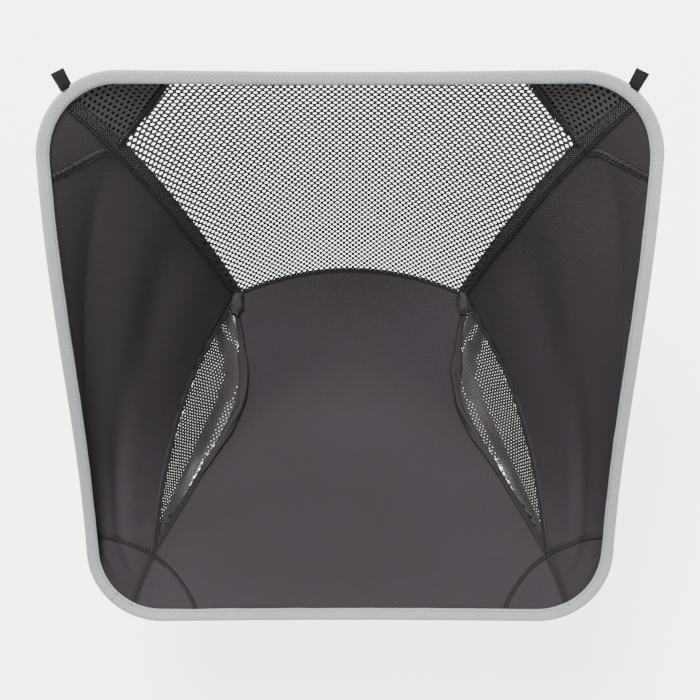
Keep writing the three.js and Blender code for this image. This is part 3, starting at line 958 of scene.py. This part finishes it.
def row_of_centres(surface, v, pitch, shift, samples=160):
    """Points at an even pitch along one row of a surface, counted out from its middle."""
    curve = [surface(k / samples, v) for k in range(samples + 1)]
    lengths = distances(curve)
    middle = lengths[-1] / 2
    row, k = {}, 0
    first = math.ceil(-middle / pitch - shift)
    last = math.floor(middle / pitch - shift)
    for index in range(first, last + 1):
        target = middle + (index + shift) * pitch
        while k < samples - 1 and lengths[k + 1] < target:
            k += 1
        span = max(lengths[k + 1] - lengths[k], 1e-9)
        row[index] = curve[k].lerp(curve[k + 1], min(max((target - lengths[k]) / span, 0), 1))
    return row


def net_sheet(name, surface, pitch_x, pitch_y, flip=False, along_u=False, samples=200):
    """A sheet of triangles with a corner at each hole's centre, in staggered rows."""
    face = (lambda u, v: surface(v, u)) if along_u else surface
    reach = distances([face(0.5, k / samples) for k in range(samples + 1)])
    rows, k = [], 0
    count = int(reach[-1] / (pitch_y / 2))
    for j in range(count + 1):
        target = min(j * pitch_y / 2, reach[-1])
        while k < samples - 1 and reach[k + 1] < target:
            k += 1
        v = (k + (target - reach[k]) / max(reach[k + 1] - reach[k], 1e-9)) / samples
        rows.append(row_of_centres(face, min(v, 1.0), pitch_x, 0.5 * (j % 2)))
    verts, index = [], {}
    for j, row in enumerate(rows):
        for i, point in row.items():
            index[j, i] = len(verts)
            verts.append(point)
    faces = []
    for j in range(len(rows) - 1):
        for i in rows[j]:
            odd = j % 2
            upper_left, upper_right = (j + 1, i - 1 + odd), (j + 1, i + odd)
            if upper_left in index and upper_right in index:
                faces.append((index[j, i], index[upper_right], index[upper_left]))
            if (j, i + 1) in index and upper_right in index:
                faces.append((index[j, i], index[j, i + 1], index[upper_right]))
    if flip:
        faces = [face[::-1] for face in faces]
    return new_object(name, verts, faces)


# ---- bands and stitch lines ----
def along_line(points, normals):
    """Each point of a line with the way across it and its normal made square to it."""
    last = len(points) - 1
    for i, point in enumerate(points):
        tangent = (points[min(i + 1, last)] - points[max(i - 1, 0)]).normalized()
        normal = (normals[i] - tangent * normals[i].dot(tangent)).normalized()
        yield point, tangent.cross(normal), normal


def band(points, normals, width, height, offset=0.0):
    """A soft raised strip along points, its sizes in mm; offset moves it sideways."""
    verts, uvs = [], []
    places = zip(along_line(points, normals), distances(points))
    for (point, side, normal), along in places:
        for across, lift in BAND_SECTION:
            place = across * width * MM
            verts.append(point + side * (place + offset * MM) + normal * (lift * height * MM))
            uvs.append((place, along))
    return verts, grid_faces(len(points) - 1, len(BAND_SECTION) - 1, flip=True), uvs


def band_object(name, strips, thickness=BAND_CLOTH):
    verts, faces = joined(*(strip[:2] for strip in strips))
    uvs = [uv for strip in strips for uv in strip[2]]
    return solidify(new_object(name, verts, faces, uvs), thickness * MM, -1.0)


def along_curve(curve, start, end, count):
    return [curve(mix(start, end, k / count)) for k in range(count + 1)]


def sling_up(point):
    """The way into the sling from its cloth: up and towards the middle of the seat."""
    centre = Vector((0, -0.02, point.z + 0.14))
    return (centre - point).normalized()


def seam_ups(points):
    return [sling_up(point) for point in points]


def shifted(points, normals, side_shift, lift):
    """A line beside another one, on the same cloth, its shifts in mm."""
    return [
        point + side * (side_shift * MM) + normal * (lift * MM)
        for point, side, normal in along_line(points, normals)
    ]


def line_object(name, lines, closed=False):
    """Lines of points as edges without faces, for the stitches to follow."""
    verts, edges = [], []
    for line in lines:
        base = len(verts)
        verts.extend(tuple(p) for p in line)
        edges.extend((base + k, base + k + 1) for k in range(len(line) - 1))
        if closed:
            edges.append((base + len(line) - 1, base))
    mesh = bpy.data.meshes.new(name)
    mesh.from_pydata(verts, edges, [])
    return placed(name, mesh)


def into_sling(point, tangent):
    """The way from the rim down into the sling, square to the rim."""
    level = Vector((-tangent.y, tangent.x, 0)).normalized()
    if level.dot(point) > 0:
        level = -level
    level.z = -mix(*BINDING_FALL, smooth_step(-0.25, -0.13, point.y))
    return (level - tangent * level.dot(tangent)).normalized()


def rim_frame(t, step=0.002):
    """A point of the rim, the way down into the sling there and the way across the binding."""
    point = rim_point(t)
    tangent = (rim_point((t + step) % 1) - rim_point((t - step) % 1)).normalized()
    inward = into_sling(point, tangent)
    return point, inward, tangent.cross(inward)


# ---- sling pieces ----
class CHAIR_OT_cloth_panels(bpy.types.Operator):
    """Makes the woven seat panel and the two side panels"""

    bl_idname = "chair.cloth_panels"
    bl_label = "Cloth panels"

    def execute(self, context):
        thickness = context.scene.chair_sling.cloth_thickness
        seat = cloth_patch("seat_cloth", seat_surface(), 110, 110)
        solidify(paint(seat, "woven_cloth"), thickness)
        on_sling(seat, "panel_cloth", "seat_panel")
        for name, side in SIDES.items():
            panel = cloth_patch(f"side_cloth_{name}", side_surface(side), 130, 60, flip=side > 0)
            solidify(paint(panel, "woven_cloth"), thickness)
            on_sling(panel, "panel_cloth", f"side_panel_{name}")
        return {"FINISHED"}


class CHAIR_OT_nets(bpy.types.Operator):
    """Knits the net of the back and of the two gussets"""

    bl_idname = "chair.nets"
    bl_label = "Net panels"

    def execute(self, context):
        sling = context.scene.chair_sling
        tree = net_tree(finish("net_yarn"))
        sizes = {"Hole share": sling.net_hole, "Thickness": sling.net_thickness}
        pitch = (sling.net_pitch_x, sling.net_pitch_y)
        back = tree.run(net_sheet("back_net", back_surface(), *pitch), sizes)
        on_sling(back, "net_cloth", "back_mesh")
        for name, side in SIDES.items():
            fine = [GUSSET_KNIT * size for size in pitch]
            sheet = net_sheet(
                f"gusset_net_{name}", gusset_surface(side), *fine, flip=side > 0, along_u=True
            )
            gusset = tree.run(sheet, {**sizes, "Hole share": GUSSET_OPEN * sling.net_hole})
            on_sling(gusset, "net_cloth", f"gusset_mesh_{name}")
        return {"FINISHED"}


class CHAIR_OT_pockets(bpy.types.Operator):
    """Makes the four corner pockets that hold the pole tips"""

    bl_idname = "chair.pockets"
    bl_label = "Corner pockets"

    def execute(self, context):
        thickness = context.scene.chair_sling.cloth_thickness
        for name, side in SIDES.items():
            crossing, seam = millimetres(CROSSING, side), back_seam(side)(REAR_POCKET_SHARE)
            ways = [Vector((side * x, y, z)) for x, y, z in (FRONT_POCKET_WAY, REAR_POCKET_WAY)]
            surfaces = {
                "front": pocket_surface(side, -1, FRONT_POCKET, crossing, ways[0]),
                "rear": pocket_surface(side, 1, REAR_POCKET, seam, ways[1]),
            }
            for kind, surface in surfaces.items():
                flip = (side < 0) == (kind == "front")
                pocket = cloth_patch(f"{kind}_pocket_cloth_{name}", surface, 56, 26, flip=flip)
                solidify(paint(pocket, "hem_cloth"), thickness)
                on_sling(pocket, "panel_cloth", f"{kind}_pocket_{name}")
        return {"FINISHED"}


class CHAIR_OT_binding(bpy.types.Operator):
    """Folds the pale tape over the sling's rim and sews on the two pull tabs"""

    bl_idname = "chair.binding"
    bl_label = "Edge binding and tabs"

    def execute(self, context):
        self.tape(context.scene.chair_sling.binding_width)
        for name, side in SIDES.items():
            self.tab(name, side)
        return {"FINISHED"}

    def tape(self, width):
        outline = [*BINDING_SECTION, *((x, -y) for x, y in reversed(BINDING_SECTION[1:]))]
        verts, uvs, along = [], [], 0.0
        for i in range(BINDING_STEPS):
            point, inward, across = rim_frame(i / BINDING_STEPS)
            along += (point - rim_point((i - 1) / BINDING_STEPS % 1)).length
            wave = 1 + 0.035 * noise.noise(point * 38)
            for x, y in outline:
                out = inward * (x * width * wave)
                verts.append(point + out + across * (y * BINDING_HALF_HEIGHT * MM))
                uvs.append((x * width, along))
        faces = ring_faces(BINDING_STEPS, len(outline), closed=True)
        tape_piece = outward(new_object("binding_tape", verts, faces, uvs))
        on_sling(paint(tape_piece, "binding_tape"), "edge_binding", "edge_binding")

    def tab(self, name, side):
        """A short loop of webbing, folded back on itself and sewn into the rim."""
        start = millimetres(TAB_START, side)
        way = Vector((side * TAB_WAY[0], *TAB_WAY[1:])).normalized()
        wide = Vector((side * TAB_ACROSS[0], *TAB_ACROSS[1:])).normalized()
        wide = (wide - way * wide.dot(way)).normalized()
        up = wide.cross(way)
        steps, columns = 24, 6
        verts, uvs = [], []
        for k in range(steps + 1):
            angle = math.pi * k / steps
            reach = TAB_LENGTH * min(1, 1.15 * math.sin(angle) ** 0.6)
            point = start + (way * reach + up * (TAB_HALF_GAP * math.cos(angle))) * MM
            for j in range(columns + 1):
                place = (j / columns - 0.5) * (TAB_WIDTH + 1.6 * math.sin(k / 7)) * MM
                verts.append(point + wide * place)
                uvs.append((place, k * 1.6 * MM))
        loop = new_object(f"tab_webbing_{name}", verts, grid_faces(steps, columns), uvs)
        solidify(paint(loop, "black_webbing"), TAB_THICKNESS * MM)
        on_sling(loop, "webbing", f"pull_tab_{name}")


def on_curve(surface, path, count):
    """A curved line on a surface, through places in its u and v."""
    line = centripetal([Vector((u, v, 0)) for u, v in path])
    points = [line(k / count) for k in range(count + 1)]
    return [surface(p.x, p.y) for p in points]


def seat_uv(side, path):
    """A path in u and v, mirrored for the right-hand side."""
    return [(u if side < 0 else 1 - u, v) for u, v in path]


def corner_surface(surface, path, corner):
    """The part of a surface between a line on it and one of its corners."""
    line = centripetal([Vector((u, v, 0)) for u, v in path])
    tip = Vector((*corner, 0))

    def at(u, v):
        place = line(u).lerp(tip, v)
        return surface(place.x, place.y)

    return at


# Sewn lines, each as places in the u and v of the panel that it lies on.
FRONT_ARC = ((0.0, 0.25), (0.039, 0.223), (0.078, 0.175), (0.126, 0.087), (0.149, 0.028))
CORNER_STRIP = ((0.0, 0.25), (0.0, 0.14), (0.0, 0.03))
FRONT_SIDE_ARC = ((0.002, 0.01), (0.057, 0.187), (0.127, 0.449), (0.163, 0.693), (0.182, 0.9))
REAR_SIDE_LINE = ((0.995, 0.70), (0.978, 0.737), (0.948, 0.775), (0.905, 0.853), (0.875, 0.93))
REAR_HEM = ((0.183, 0.935), (0.14, 0.846), (0.098, 0.774), (0.055, 0.727), (0.012, 0.70))
REAR_CORNER = (0.002, 0.995)


def main_seams(side):
    """The three seams of one side that carry a folded allowance, as lines of points."""
    return {
        "seat_seam": along_curve(lower_seam(side), CORNER_SHARE, 0.99, 90),
        "upper_seam": along_curve(upper_seam(side), 0.0, 0.99, 90),
        "back_seam": along_curve(back_seam(side), 0.0, 0.95, 120),
    }


class CHAIR_OT_seams(bpy.types.Operator):
    """Lays the folded seam allowances, hems and the dark borders of the back net"""

    bl_idname = "chair.seams"
    bl_label = "Seam bands"

    def execute(self, context):
        for name, side in SIDES.items():
            seams, strips = main_seams(side), []
            for kind in ("seat_seam", "upper_seam"):
                gathered = self.gathered(seams[kind], side)
                strips.append(band(gathered, seam_ups(seams[kind]), 7.5, 1.5))
            piece = band_object(f"seam_band_{name}", strips)
            on_sling(paint(piece, "hem_cloth"), "panel_cloth")
            self.border(name, side, seams["back_seam"])
            self.pocket_lines(name, side)
            self.pocket_facing(name, side)
            self.pleat(name, side)
            self.knot(name, side)
        self.arc()
        return {"FINISHED"}

    def gathered(self, points, side, amount=1.1):
        """A seam line puckered up and down by the thread."""
        shift = Vector((side, 0, 0))
        return [
            p + Vector((0, 0, amount * MM * noise.noise(p * 120 + shift))) for p in points
        ]

    def border(self, name, side, points):
        """The dark border of the back net: a flat tape and a narrow fold over the seam."""
        ups = seam_ups(points)
        strips = [
            band(points, ups, 12, 1.0, offset=side * -4.5),
            band(points, ups, 5, 1.3, offset=side * 1.2),
        ]
        piece = band_object(f"back_border_tape_{name}", strips, 0.7)
        on_sling(paint(piece, "doubled_net"), "net_cloth", f"back_border_{name}")

    def pocket_lines(self, name, side):
        """The bands that hold the two pockets, on the seat and on the side panel."""
        seat, panel = seat_surface(), side_surface(side)
        lines = [
            (on_curve(seat, seat_uv(side, FRONT_ARC), 34), 7),
            (on_curve(seat, seat_uv(side, CORNER_STRIP), 34), 8),
            (on_curve(panel, FRONT_SIDE_ARC, 24), 6),
        ]
        strips = [band(points, seam_ups(points), wide, 1.5) for points, wide in lines]
        pucker = on_curve(panel, REAR_SIDE_LINE, 60)
        ups = seam_ups(pucker)
        bumpy = [
            p + up * (2.6 * MM * math.sin(k * 1.35) * noise.noise(p * 60))
            for k, (p, up) in enumerate(zip(pucker, ups))
        ]
        strips.append(band(bumpy, ups, 8, 2.0))
        piece = band_object(f"pocket_band_{name}", strips)
        on_sling(paint(piece, "hem_cloth"), "panel_cloth")

    def pocket_facing(self, name, side):
        """The second layer of net over a rear pocket, and the hem along its edge."""
        path, back = seat_uv(side, REAR_HEM), back_surface()
        facing = corner_surface(back, path, seat_uv(side, [REAR_CORNER])[0])
        sheet = cloth_patch(f"pocket_facing_{name}", facing, 40, 30, flip=side < 0, lift=-2.2 * MM)
        solidify(paint(sheet, "doubled_net"), 0.6 * MM)
        on_sling(sheet, "net_cloth")
        points = on_curve(back, path, 40)
        piece = band_object(f"pocket_hem_{name}", [band(points, seam_ups(points), 8, 1.4)])
        on_sling(paint(piece, "doubled_net"), "net_cloth")

    def pleat(self, name, side):
        """The roll of slack cloth beside the seat seam."""
        lower = lower_seam(side)
        verts, uvs = [], []
        across, along = 14, 70
        for i in range(along + 1):
            t = i / along
            share = mix(*PLEAT_SPAN, t)
            here = lower(share)
            ahead = (lower(share + 0.004) - here).normalized()
            full = math.sin(math.pi * min(t * 1.12, 1)) ** 0.7
            uneven = 0.75 + 0.35 * noise.noise(Vector((t * 7, side, 3)))
            size = (PLEAT_SIZE[0] + PLEAT_SIZE[1] * full * uneven) * MM
            level = Vector((-side, 0, 0))
            level = (level - ahead * level.dot(ahead)).normalized()
            up = level.cross(ahead) * side
            if up.z < 0:
                up = -up
            for j in range(across):
                angle = 2 * math.pi * j / across
                crease = 1 + 0.22 * math.sin(3 * angle + 9 * t)
                crease += 0.1 * math.sin(31 * t + 2 * angle)
                spot = level * (math.cos(angle) * size * 0.62 - 1.5 * MM * full)
                spot += up * (math.sin(angle) * size * 0.42 + 1.2 * MM)
                verts.append(here + spot * crease)
                uvs.append((30 * MM * j / across, 180 * MM * t))
        faces = ring_faces(along + 1, across)
        faces.append(tuple(range(across)))
        faces.append(tuple(along * across + j for j in range(across)))
        roll = outward(new_object(f"seat_pleat_{name}", verts, faces, uvs))
        on_sling(paint(roll, "hem_cloth"), "panel_cloth")

    def knot(self, name, side):
        """The crumpled lump where the seams of one side meet."""
        mesh = bpy.data.meshes.new(f"pinch_knot_{name}")
        work = bmesh.new()
        bmesh.ops.create_icosphere(work, subdivisions=4, radius=1)
        centre = millimetres(PINCH, side) + millimetres(KNOT_SHIFT, side)
        for vert in work.verts:
            fold = 1 + 0.07 * math.sin(7 * math.atan2(vert.co.x, vert.co.y) + 2 * vert.co.z)
            fold += 0.16 * noise.noise(vert.co * 1.7 + Vector((side, 2, 5)))
            size = [extent * fold * MM for extent in KNOT_SIZE]
            vert.co = centre + Vector([place * reach for place, reach in zip(vert.co, size)])
        work.to_mesh(mesh)
        work.free()
        mesh.shade_smooth()
        lump = placed(f"pinch_knot_{name}", mesh)
        on_sling(paint(lump, "hem_cloth"), "panel_cloth")

    def arc(self):
        """The hem of the seam between the seat and the back net."""
        points = along_curve(arc_seam(), 0.01, 0.99, 110)
        piece = band_object("arc_hem", [band(points, seam_ups(points), 8, 1.2)])
        on_sling(paint(piece, "hem_cloth"), "panel_cloth")


class CHAIR_OT_stitches(bpy.types.Operator):
    """Sews every seam, hem and the binding with its rows of stitches"""

    bl_idname = "chair.stitches"
    bl_label = "Stitches"

    def execute(self, context):
        sling = context.scene.chair_sling
        sizes = {"Length": sling.stitch_length, "Spacing": sling.stitch_gap}
        pale = stitch_tree(finish("pale_thread"))
        rows = [self.rim_line(sling.binding_width, face) for face in (1, -1)]
        row = pale.run(line_object("binding_stitches", rows, closed=True), sizes)
        on_sling(row, "edge_binding")
        dark = stitch_tree(finish("thread"))
        for name, side in SIDES.items():
            lines = [*self.seam_rows(side), *self.pocket_rows(side)]
            row = dark.run(line_object(f"seam_stitches_{name}", lines), sizes)
            on_sling(row, "panel_cloth")
        arc = along_curve(arc_seam(), 0.02, 0.98, 110)
        rows = self.beside(arc, (-2.6, 2.4), 1.4)
        on_sling(dark.run(line_object("arc_stitches", rows), sizes), "panel_cloth")
        return {"FINISHED"}

    def beside(self, points, shifts, lift):
        """Rows of stitches beside a line, and how far they stand off it, in mm."""
        return [shifted(points, seam_ups(points), shift, lift) for shift in shifts]

    def seam_rows(self, side):
        rows = []
        for kind, points in main_seams(side).items():
            shifts = [side * s for s in (0.4, 2.6, -9.0)] if kind == "back_seam" else (-2.4, 2.4)
            rows += self.beside(points, shifts, 1.7)
        return rows

    def pocket_rows(self, side):
        seat, back, panel = seat_surface(), back_surface(), side_surface(side)
        lines = (
            (seat, seat_uv(side, FRONT_ARC), (-2.4, 2.4), 1.7),
            (seat, seat_uv(side, CORNER_STRIP), (-3, 3), 1.7),
            (back, seat_uv(side, REAR_HEM), (0, 3), 1.7),
            (panel, FRONT_SIDE_ARC, (-1.8, 1.8), 2.2),
            (panel, REAR_SIDE_LINE, (-2, 2), 2.2),
        )
        rows = []
        for surface, path, shifts, lift in lines:
            rows += self.beside(on_curve(surface, path, 34), shifts, lift)
        return rows

    def rim_line(self, width, face):
        """A row on one face of the binding, near its inner edge."""
        line = []
        for i in range(BINDING_STEPS):
            point, inward, across = rim_frame(i / BINDING_STEPS)
            line.append(point + inward * (0.68 * width) + across * (face * 1.42 * MM))
        return line


# ---- frame pieces ----
def hub_centre(side, x):
    return millimetres((side * x, HUB_Y, HUB_Z))


def toward(start, end, distance):
    return start + (end - start).normalized() * (distance * MM)


def tube_object(name, points, radius=POLE_RADIUS):
    verts, faces = sweep(points, radius * MM, (radius - TUBE_WALL) * MM)
    obj = sharp_above(outward(new_object(name, verts, faces)))
    bevel = obj.modifiers.new("edge", "BEVEL")
    bevel.width = 0.5 * MM
    bevel.segments = 2
    bevel.limit_method = "ANGLE"
    return paint(applied(obj), "anodised_tube")


class CHAIR_OT_poles(bpy.types.Operator):
    """Draws the crossbar, the uprights and the four legs"""

    bl_idname = "chair.poles"
    bl_label = "Poles"

    def execute(self, context):
        ends = [hub_centre(side, CROSSBAR_END) for side in SIDES.values()]
        bar = tube_object("crossbar_tube", ends, CROSSBAR_RADIUS)
        on_body(bar, "back_frame", "pole", "crossbar")
        for name, side in SIDES.items():
            self.legs(name, side)
            self.uprights(name, side)
        return {"FINISHED"}

    def legs(self, name, side):
        for kind, (hub, foot) in LEGS.items():
            centre, ball = hub_centre(side, HUBS[hub]["x"]), millimetres(foot, side)
            points = [toward(centre, ball, SOCKET_START), toward(ball, centre, 4)]
            leg = tube_object(f"{kind}_leg_tube_{name}", points)
            on_body(leg, f"{kind}_leg_{name}_body", "pole", f"{kind}_leg_{name}")

    def uprights(self, name, side):
        centre, tip = hub_centre(side, HUBS["outer"]["x"]), millimetres(FRONT_TIP, side)
        points = [toward(centre, tip, SOCKET_START), toward(tip, centre, 1)]
        upright = tube_object(f"front_upright_tube_{name}", points)
        on_body(upright, "seat_frame", "pole", f"front_upright_{name}")

        centre = hub_centre(side, HUBS["inner"]["x"])
        bend, tip = millimetres(REAR_BEND, side), millimetres(REAR_TIP, side)
        joint = centre.lerp(bend, REAR_JOINT_SHARE)
        lower = tube_object(f"rear_lower_tube_{name}", [toward(centre, bend, SOCKET_START), joint])
        on_body(lower, "back_frame", "pole", f"rear_upright_lower_{name}")
        straight, after = toward(bend, joint, BEND_REACH), toward(bend, tip, BEND_REACH)
        points = [toward(joint, bend, 0.4)]
        points += [bezier((straight, bend, after), k / 12) for k in range(13)]
        points.append(toward(tip, bend, 1))
        upper = tube_object(f"rear_upper_tube_{name}", points)
        on_body(upper, "back_frame", "pole", f"rear_upright_upper_{name}")


class CHAIR_OT_hubs(bpy.types.Operator):
    """Moulds the hub halves and sets the heads of their pivot bolts"""

    bl_idname = "chair.hubs"
    bl_label = "Hubs"

    def execute(self, context):
        for name, side in SIDES.items():
            for kind in HUBS:
                self.half(kind, name, side)
            self.bolt(name, side)
        return {"FINISHED"}

    def half(self, kind, name, side):
        """One half: a round boss and two sockets, run together with softened corners."""
        hub = HUBS[kind]
        centre = hub_centre(side, hub["x"])
        near, far = (hub_centre(side, x) for x in hub["disc"])
        thick, flat = hub["disc"][1] - hub["disc"][0], HUB_RADIUS - HUB_ROUND
        boss = [(0, 0), (flat, 0), (HUB_RADIUS, HUB_ROUND)]
        boss += [(HUB_RADIUS, thick - HUB_ROUND), (flat, thick), (0, thick)]
        narrow, collar = SOCKET_RADIUS - 0.8, SOCKET_END - 8
        socket = [(0, 0), (narrow, 0), (narrow, collar - 1), (SOCKET_RADIUS, collar)]
        socket += [(SOCKET_RADIUS, SOCKET_END - 0.8), (narrow, SOCKET_END), (0, SOCKET_END)]
        parts = [lathe(boss, near, far - near, 48)]
        for pole in hub["poles"]:
            parts.append(lathe(socket, centre, millimetres(pole, side) - centre, 40))
        verts, faces = joined(*parts)
        shell = outward(new_object(f"hub_{kind}_shell_{name}", verts, faces))
        remesh = shell.modifiers.new("union", "REMESH")
        remesh.mode = "VOXEL"
        remesh.voxel_size = 0.85 * MM
        remesh.use_smooth_shade = True
        soften = shell.modifiers.new("soften", "SMOOTH")
        soften.factor = 0.5
        soften.iterations = 5
        paint(applied(shell), "hub_plastic")
        on_body(shell, hub["body"], "hub_plastic", f"hub_{kind}_{name}")

    def bolt(self, name, side):
        """The button head of a pivot bolt, with the recess for its key."""
        rim, floor = BOLT_DEPTH - 1.2, BOLT_DEPTH - BOLT_KEY_DEPTH
        profile = [(0, 0), (BOLT_RADIUS, 0), (BOLT_RADIUS, rim), (BOLT_RADIUS - 1.2, BOLT_DEPTH)]
        profile += [(BOLT_KEY, BOLT_DEPTH), (BOLT_KEY - 0.4, floor), (0, floor)]
        verts, faces = lathe(profile, hub_centre(side, BOLT_START), Vector((side, 0, 0)), 40)
        head_piece = sharp_above(outward(new_object(f"pivot_bolt_head_{name}", verts, faces)), 30)
        paint(head_piece, "satin_steel")
        on_body(head_piece, "back_frame", "steel", f"pivot_bolt_{name}")


class CHAIR_OT_ends(bpy.types.Operator):
    """Fits the rubber feet and the tip caps of the uprights"""

    bl_idname = "chair.ends"
    bl_label = "Feet and tips"

    def execute(self, context):
        for name, side in SIDES.items():
            inner, outer = (hub_centre(side, HUBS[kind]["x"]) for kind in ("inner", "outer"))
            for kind, (hub, foot) in LEGS.items():
                centre = inner if hub == "inner" else outer
                self.foot(f"{kind}_foot_{name}", millimetres(foot, side), centre,
                          f"{kind}_leg_{name}_body")
            bend = millimetres(REAR_BEND, side)
            self.tip(f"front_tip_{name}", millimetres(FRONT_TIP, side), outer, "seat_frame")
            self.tip(f"rear_tip_{name}", millimetres(REAR_TIP, side), bend, "back_frame")
        return {"FINISHED"}

    def foot(self, node, ball, centre, body):
        """A ball foot with ribs up its neck, flat where it meets the ground."""
        profile = round_end(FOOT_BALL, math.pi * 0.62, 14)
        proud, sunk = FOOT_NECK + 0.7, FOOT_NECK - 0.2
        for ring in range(FOOT_RING["count"]):
            low = FOOT_RING["first"] + FOOT_RING["spacing"] * ring
            profile += [(proud, low), (proud, low + 3), (sunk, low + 3.8), (sunk, low + 4.9)]
        profile += [(FOOT_NECK, FOOT_LENGTH - 1), (FOOT_NECK - 1, FOOT_LENGTH)]
        profile += [(POLE_RADIUS + 0.2, FOOT_LENGTH), (POLE_RADIUS, FOOT_LENGTH - 4)]
        profile.append((0, FOOT_LENGTH - 4))
        verts, faces = lathe(profile, ball, centre - ball, 48)
        for vert in verts:
            vert.z = max(vert.z, 0.0)
        piece = sharp_above(outward(new_object(f"{node}_rubber", verts, faces)), 40)
        paint(piece, "foot_rubber")
        on_body(piece, body, "foot_rubber", node)

    def tip(self, node, end, start, body):
        """A round-ended cap over an upright's end."""
        length = TIP_LENGTH - TIP_RADIUS
        profile = round_end(TIP_RADIUS, math.pi / 2, 12)
        profile += [(TIP_RADIUS, length - 3), (TIP_RADIUS, length - 1), (TIP_RADIUS - 0.8, length)]
        profile += [(POLE_RADIUS + 0.1, length), (POLE_RADIUS, length - 3), (0, length - 3)]
        verts, faces = lathe(profile, end, start - end, 40)
        piece = sharp_above(outward(new_object(f"{node}_cap", verts, faces)), 40)
        paint(piece, "hub_plastic")
        on_body(piece, body, "hub_plastic", node)


class CHAIR_OT_inner_parts(bpy.types.Operator):
    """Gives the ferrules, washers and shock cords their finishes"""

    bl_idname = "chair.inner_parts"
    bl_label = "Inner parts"

    def execute(self, context):
        for node, obj in frame["nodes"].items():
            if "cord" in node:
                self.dress(obj, "net_yarn")
            elif "ferrule" in node or "washer" in node:
                self.dress(obj, "satin_steel")
        return {"FINISHED"}

    def dress(self, obj, name):
        for slot in obj.material_slots:
            slot.material = finish(name)


# ---- stage ----
class CHAIR_OT_stage(bpy.types.Operator):
    """Sets the pale floor, the soft studio lights and the camera straight above"""

    bl_idname = "chair.stage"
    bl_label = "Stage"

    def execute(self, context):
        scene = context.scene
        far = FLOOR_REACH
        corners = [(-far, -far, 0), (far, -far, 0), (far, far, 0), (-far, far, 0)]
        ground = new_object("floor", [Vector(c) for c in corners], [(0, 1, 2, 3)], smooth=False)
        ground.location.z = -0.5 * MM
        paint(ground, "floor_white")
        self.camera(scene)
        self.world(scene)
        for name, (place, size, power) in LIGHTS.items():
            self.light(name, place, size, power)
        return {"FINISHED"}

    def camera(self, scene):
        data = bpy.data.cameras.new("view_from_above")
        data.sensor_width = 36
        data.lens = CAMERA_LENS
        camera = bpy.data.objects.new("view_from_above", data)
        camera.location = CAMERA_PLACE
        scene.collection.objects.link(camera)
        scene.camera = camera

    def world(self, scene):
        world = bpy.data.worlds.new("studio")
        world.use_nodes = True
        background = world.node_tree.nodes["Background"]
        background.inputs["Color"].default_value = (0.95, 0.97, 1.0, 1)
        background.inputs["Strength"].default_value = SKY_STRENGTH
        scene.world = world

    def light(self, name, place, size, power):
        data = bpy.data.lights.new(name, "AREA")
        data.shape = "DISK"
        data.size = size
        data.energy = power
        lamp = bpy.data.objects.new(name, data)
        lamp.location = place
        aim = Vector((0, 0, 0.35)) - Vector(place)
        lamp.rotation_euler = aim.to_track_quat("-Z", "Y").to_euler()
        bpy.context.scene.collection.objects.link(lamp)


OPERATORS = (
    CHAIR_OT_stage,
    CHAIR_OT_cloth_panels,
    CHAIR_OT_nets,
    CHAIR_OT_pockets,
    CHAIR_OT_binding,
    CHAIR_OT_seams,
    CHAIR_OT_stitches,
    CHAIR_OT_poles,
    CHAIR_OT_hubs,
    CHAIR_OT_ends,
    CHAIR_OT_inner_parts,
)


class CHAIR_PT_build(bpy.types.Panel):
    """Lists the chair's pieces and settings"""

    bl_idname = "CHAIR_PT_build"
    bl_label = "Folding camp chair"
    bl_space_type = "VIEW_3D"
    bl_region_type = "UI"
    bl_category = "Chair"

    def draw(self, context):
        for group in (context.scene.chair_sling, context.scene.chair_colours):
            for key in type(group).__annotations__:
                self.layout.prop(group, key)
        for operator in OPERATORS:
            self.layout.operator(operator.bl_idname)


CLASSES = (ChairSling, ChairColours, *OPERATORS, CHAIR_PT_build)


def register():
    for cls in CLASSES:
        bpy.utils.register_class(cls)
    bpy.types.Scene.chair_sling = PointerProperty(type=ChairSling)
    bpy.types.Scene.chair_colours = PointerProperty(type=ChairColours)


def unregister():
    del bpy.types.Scene.chair_colours
    del bpy.types.Scene.chair_sling
    for cls in reversed(CLASSES):
        bpy.utils.unregister_class(cls)


def main():
    register()
    for operator in OPERATORS:
        group, name = operator.bl_idname.split(".")
        getattr(getattr(bpy.ops, group), name)()


if __name__ == "__main__":
    main()
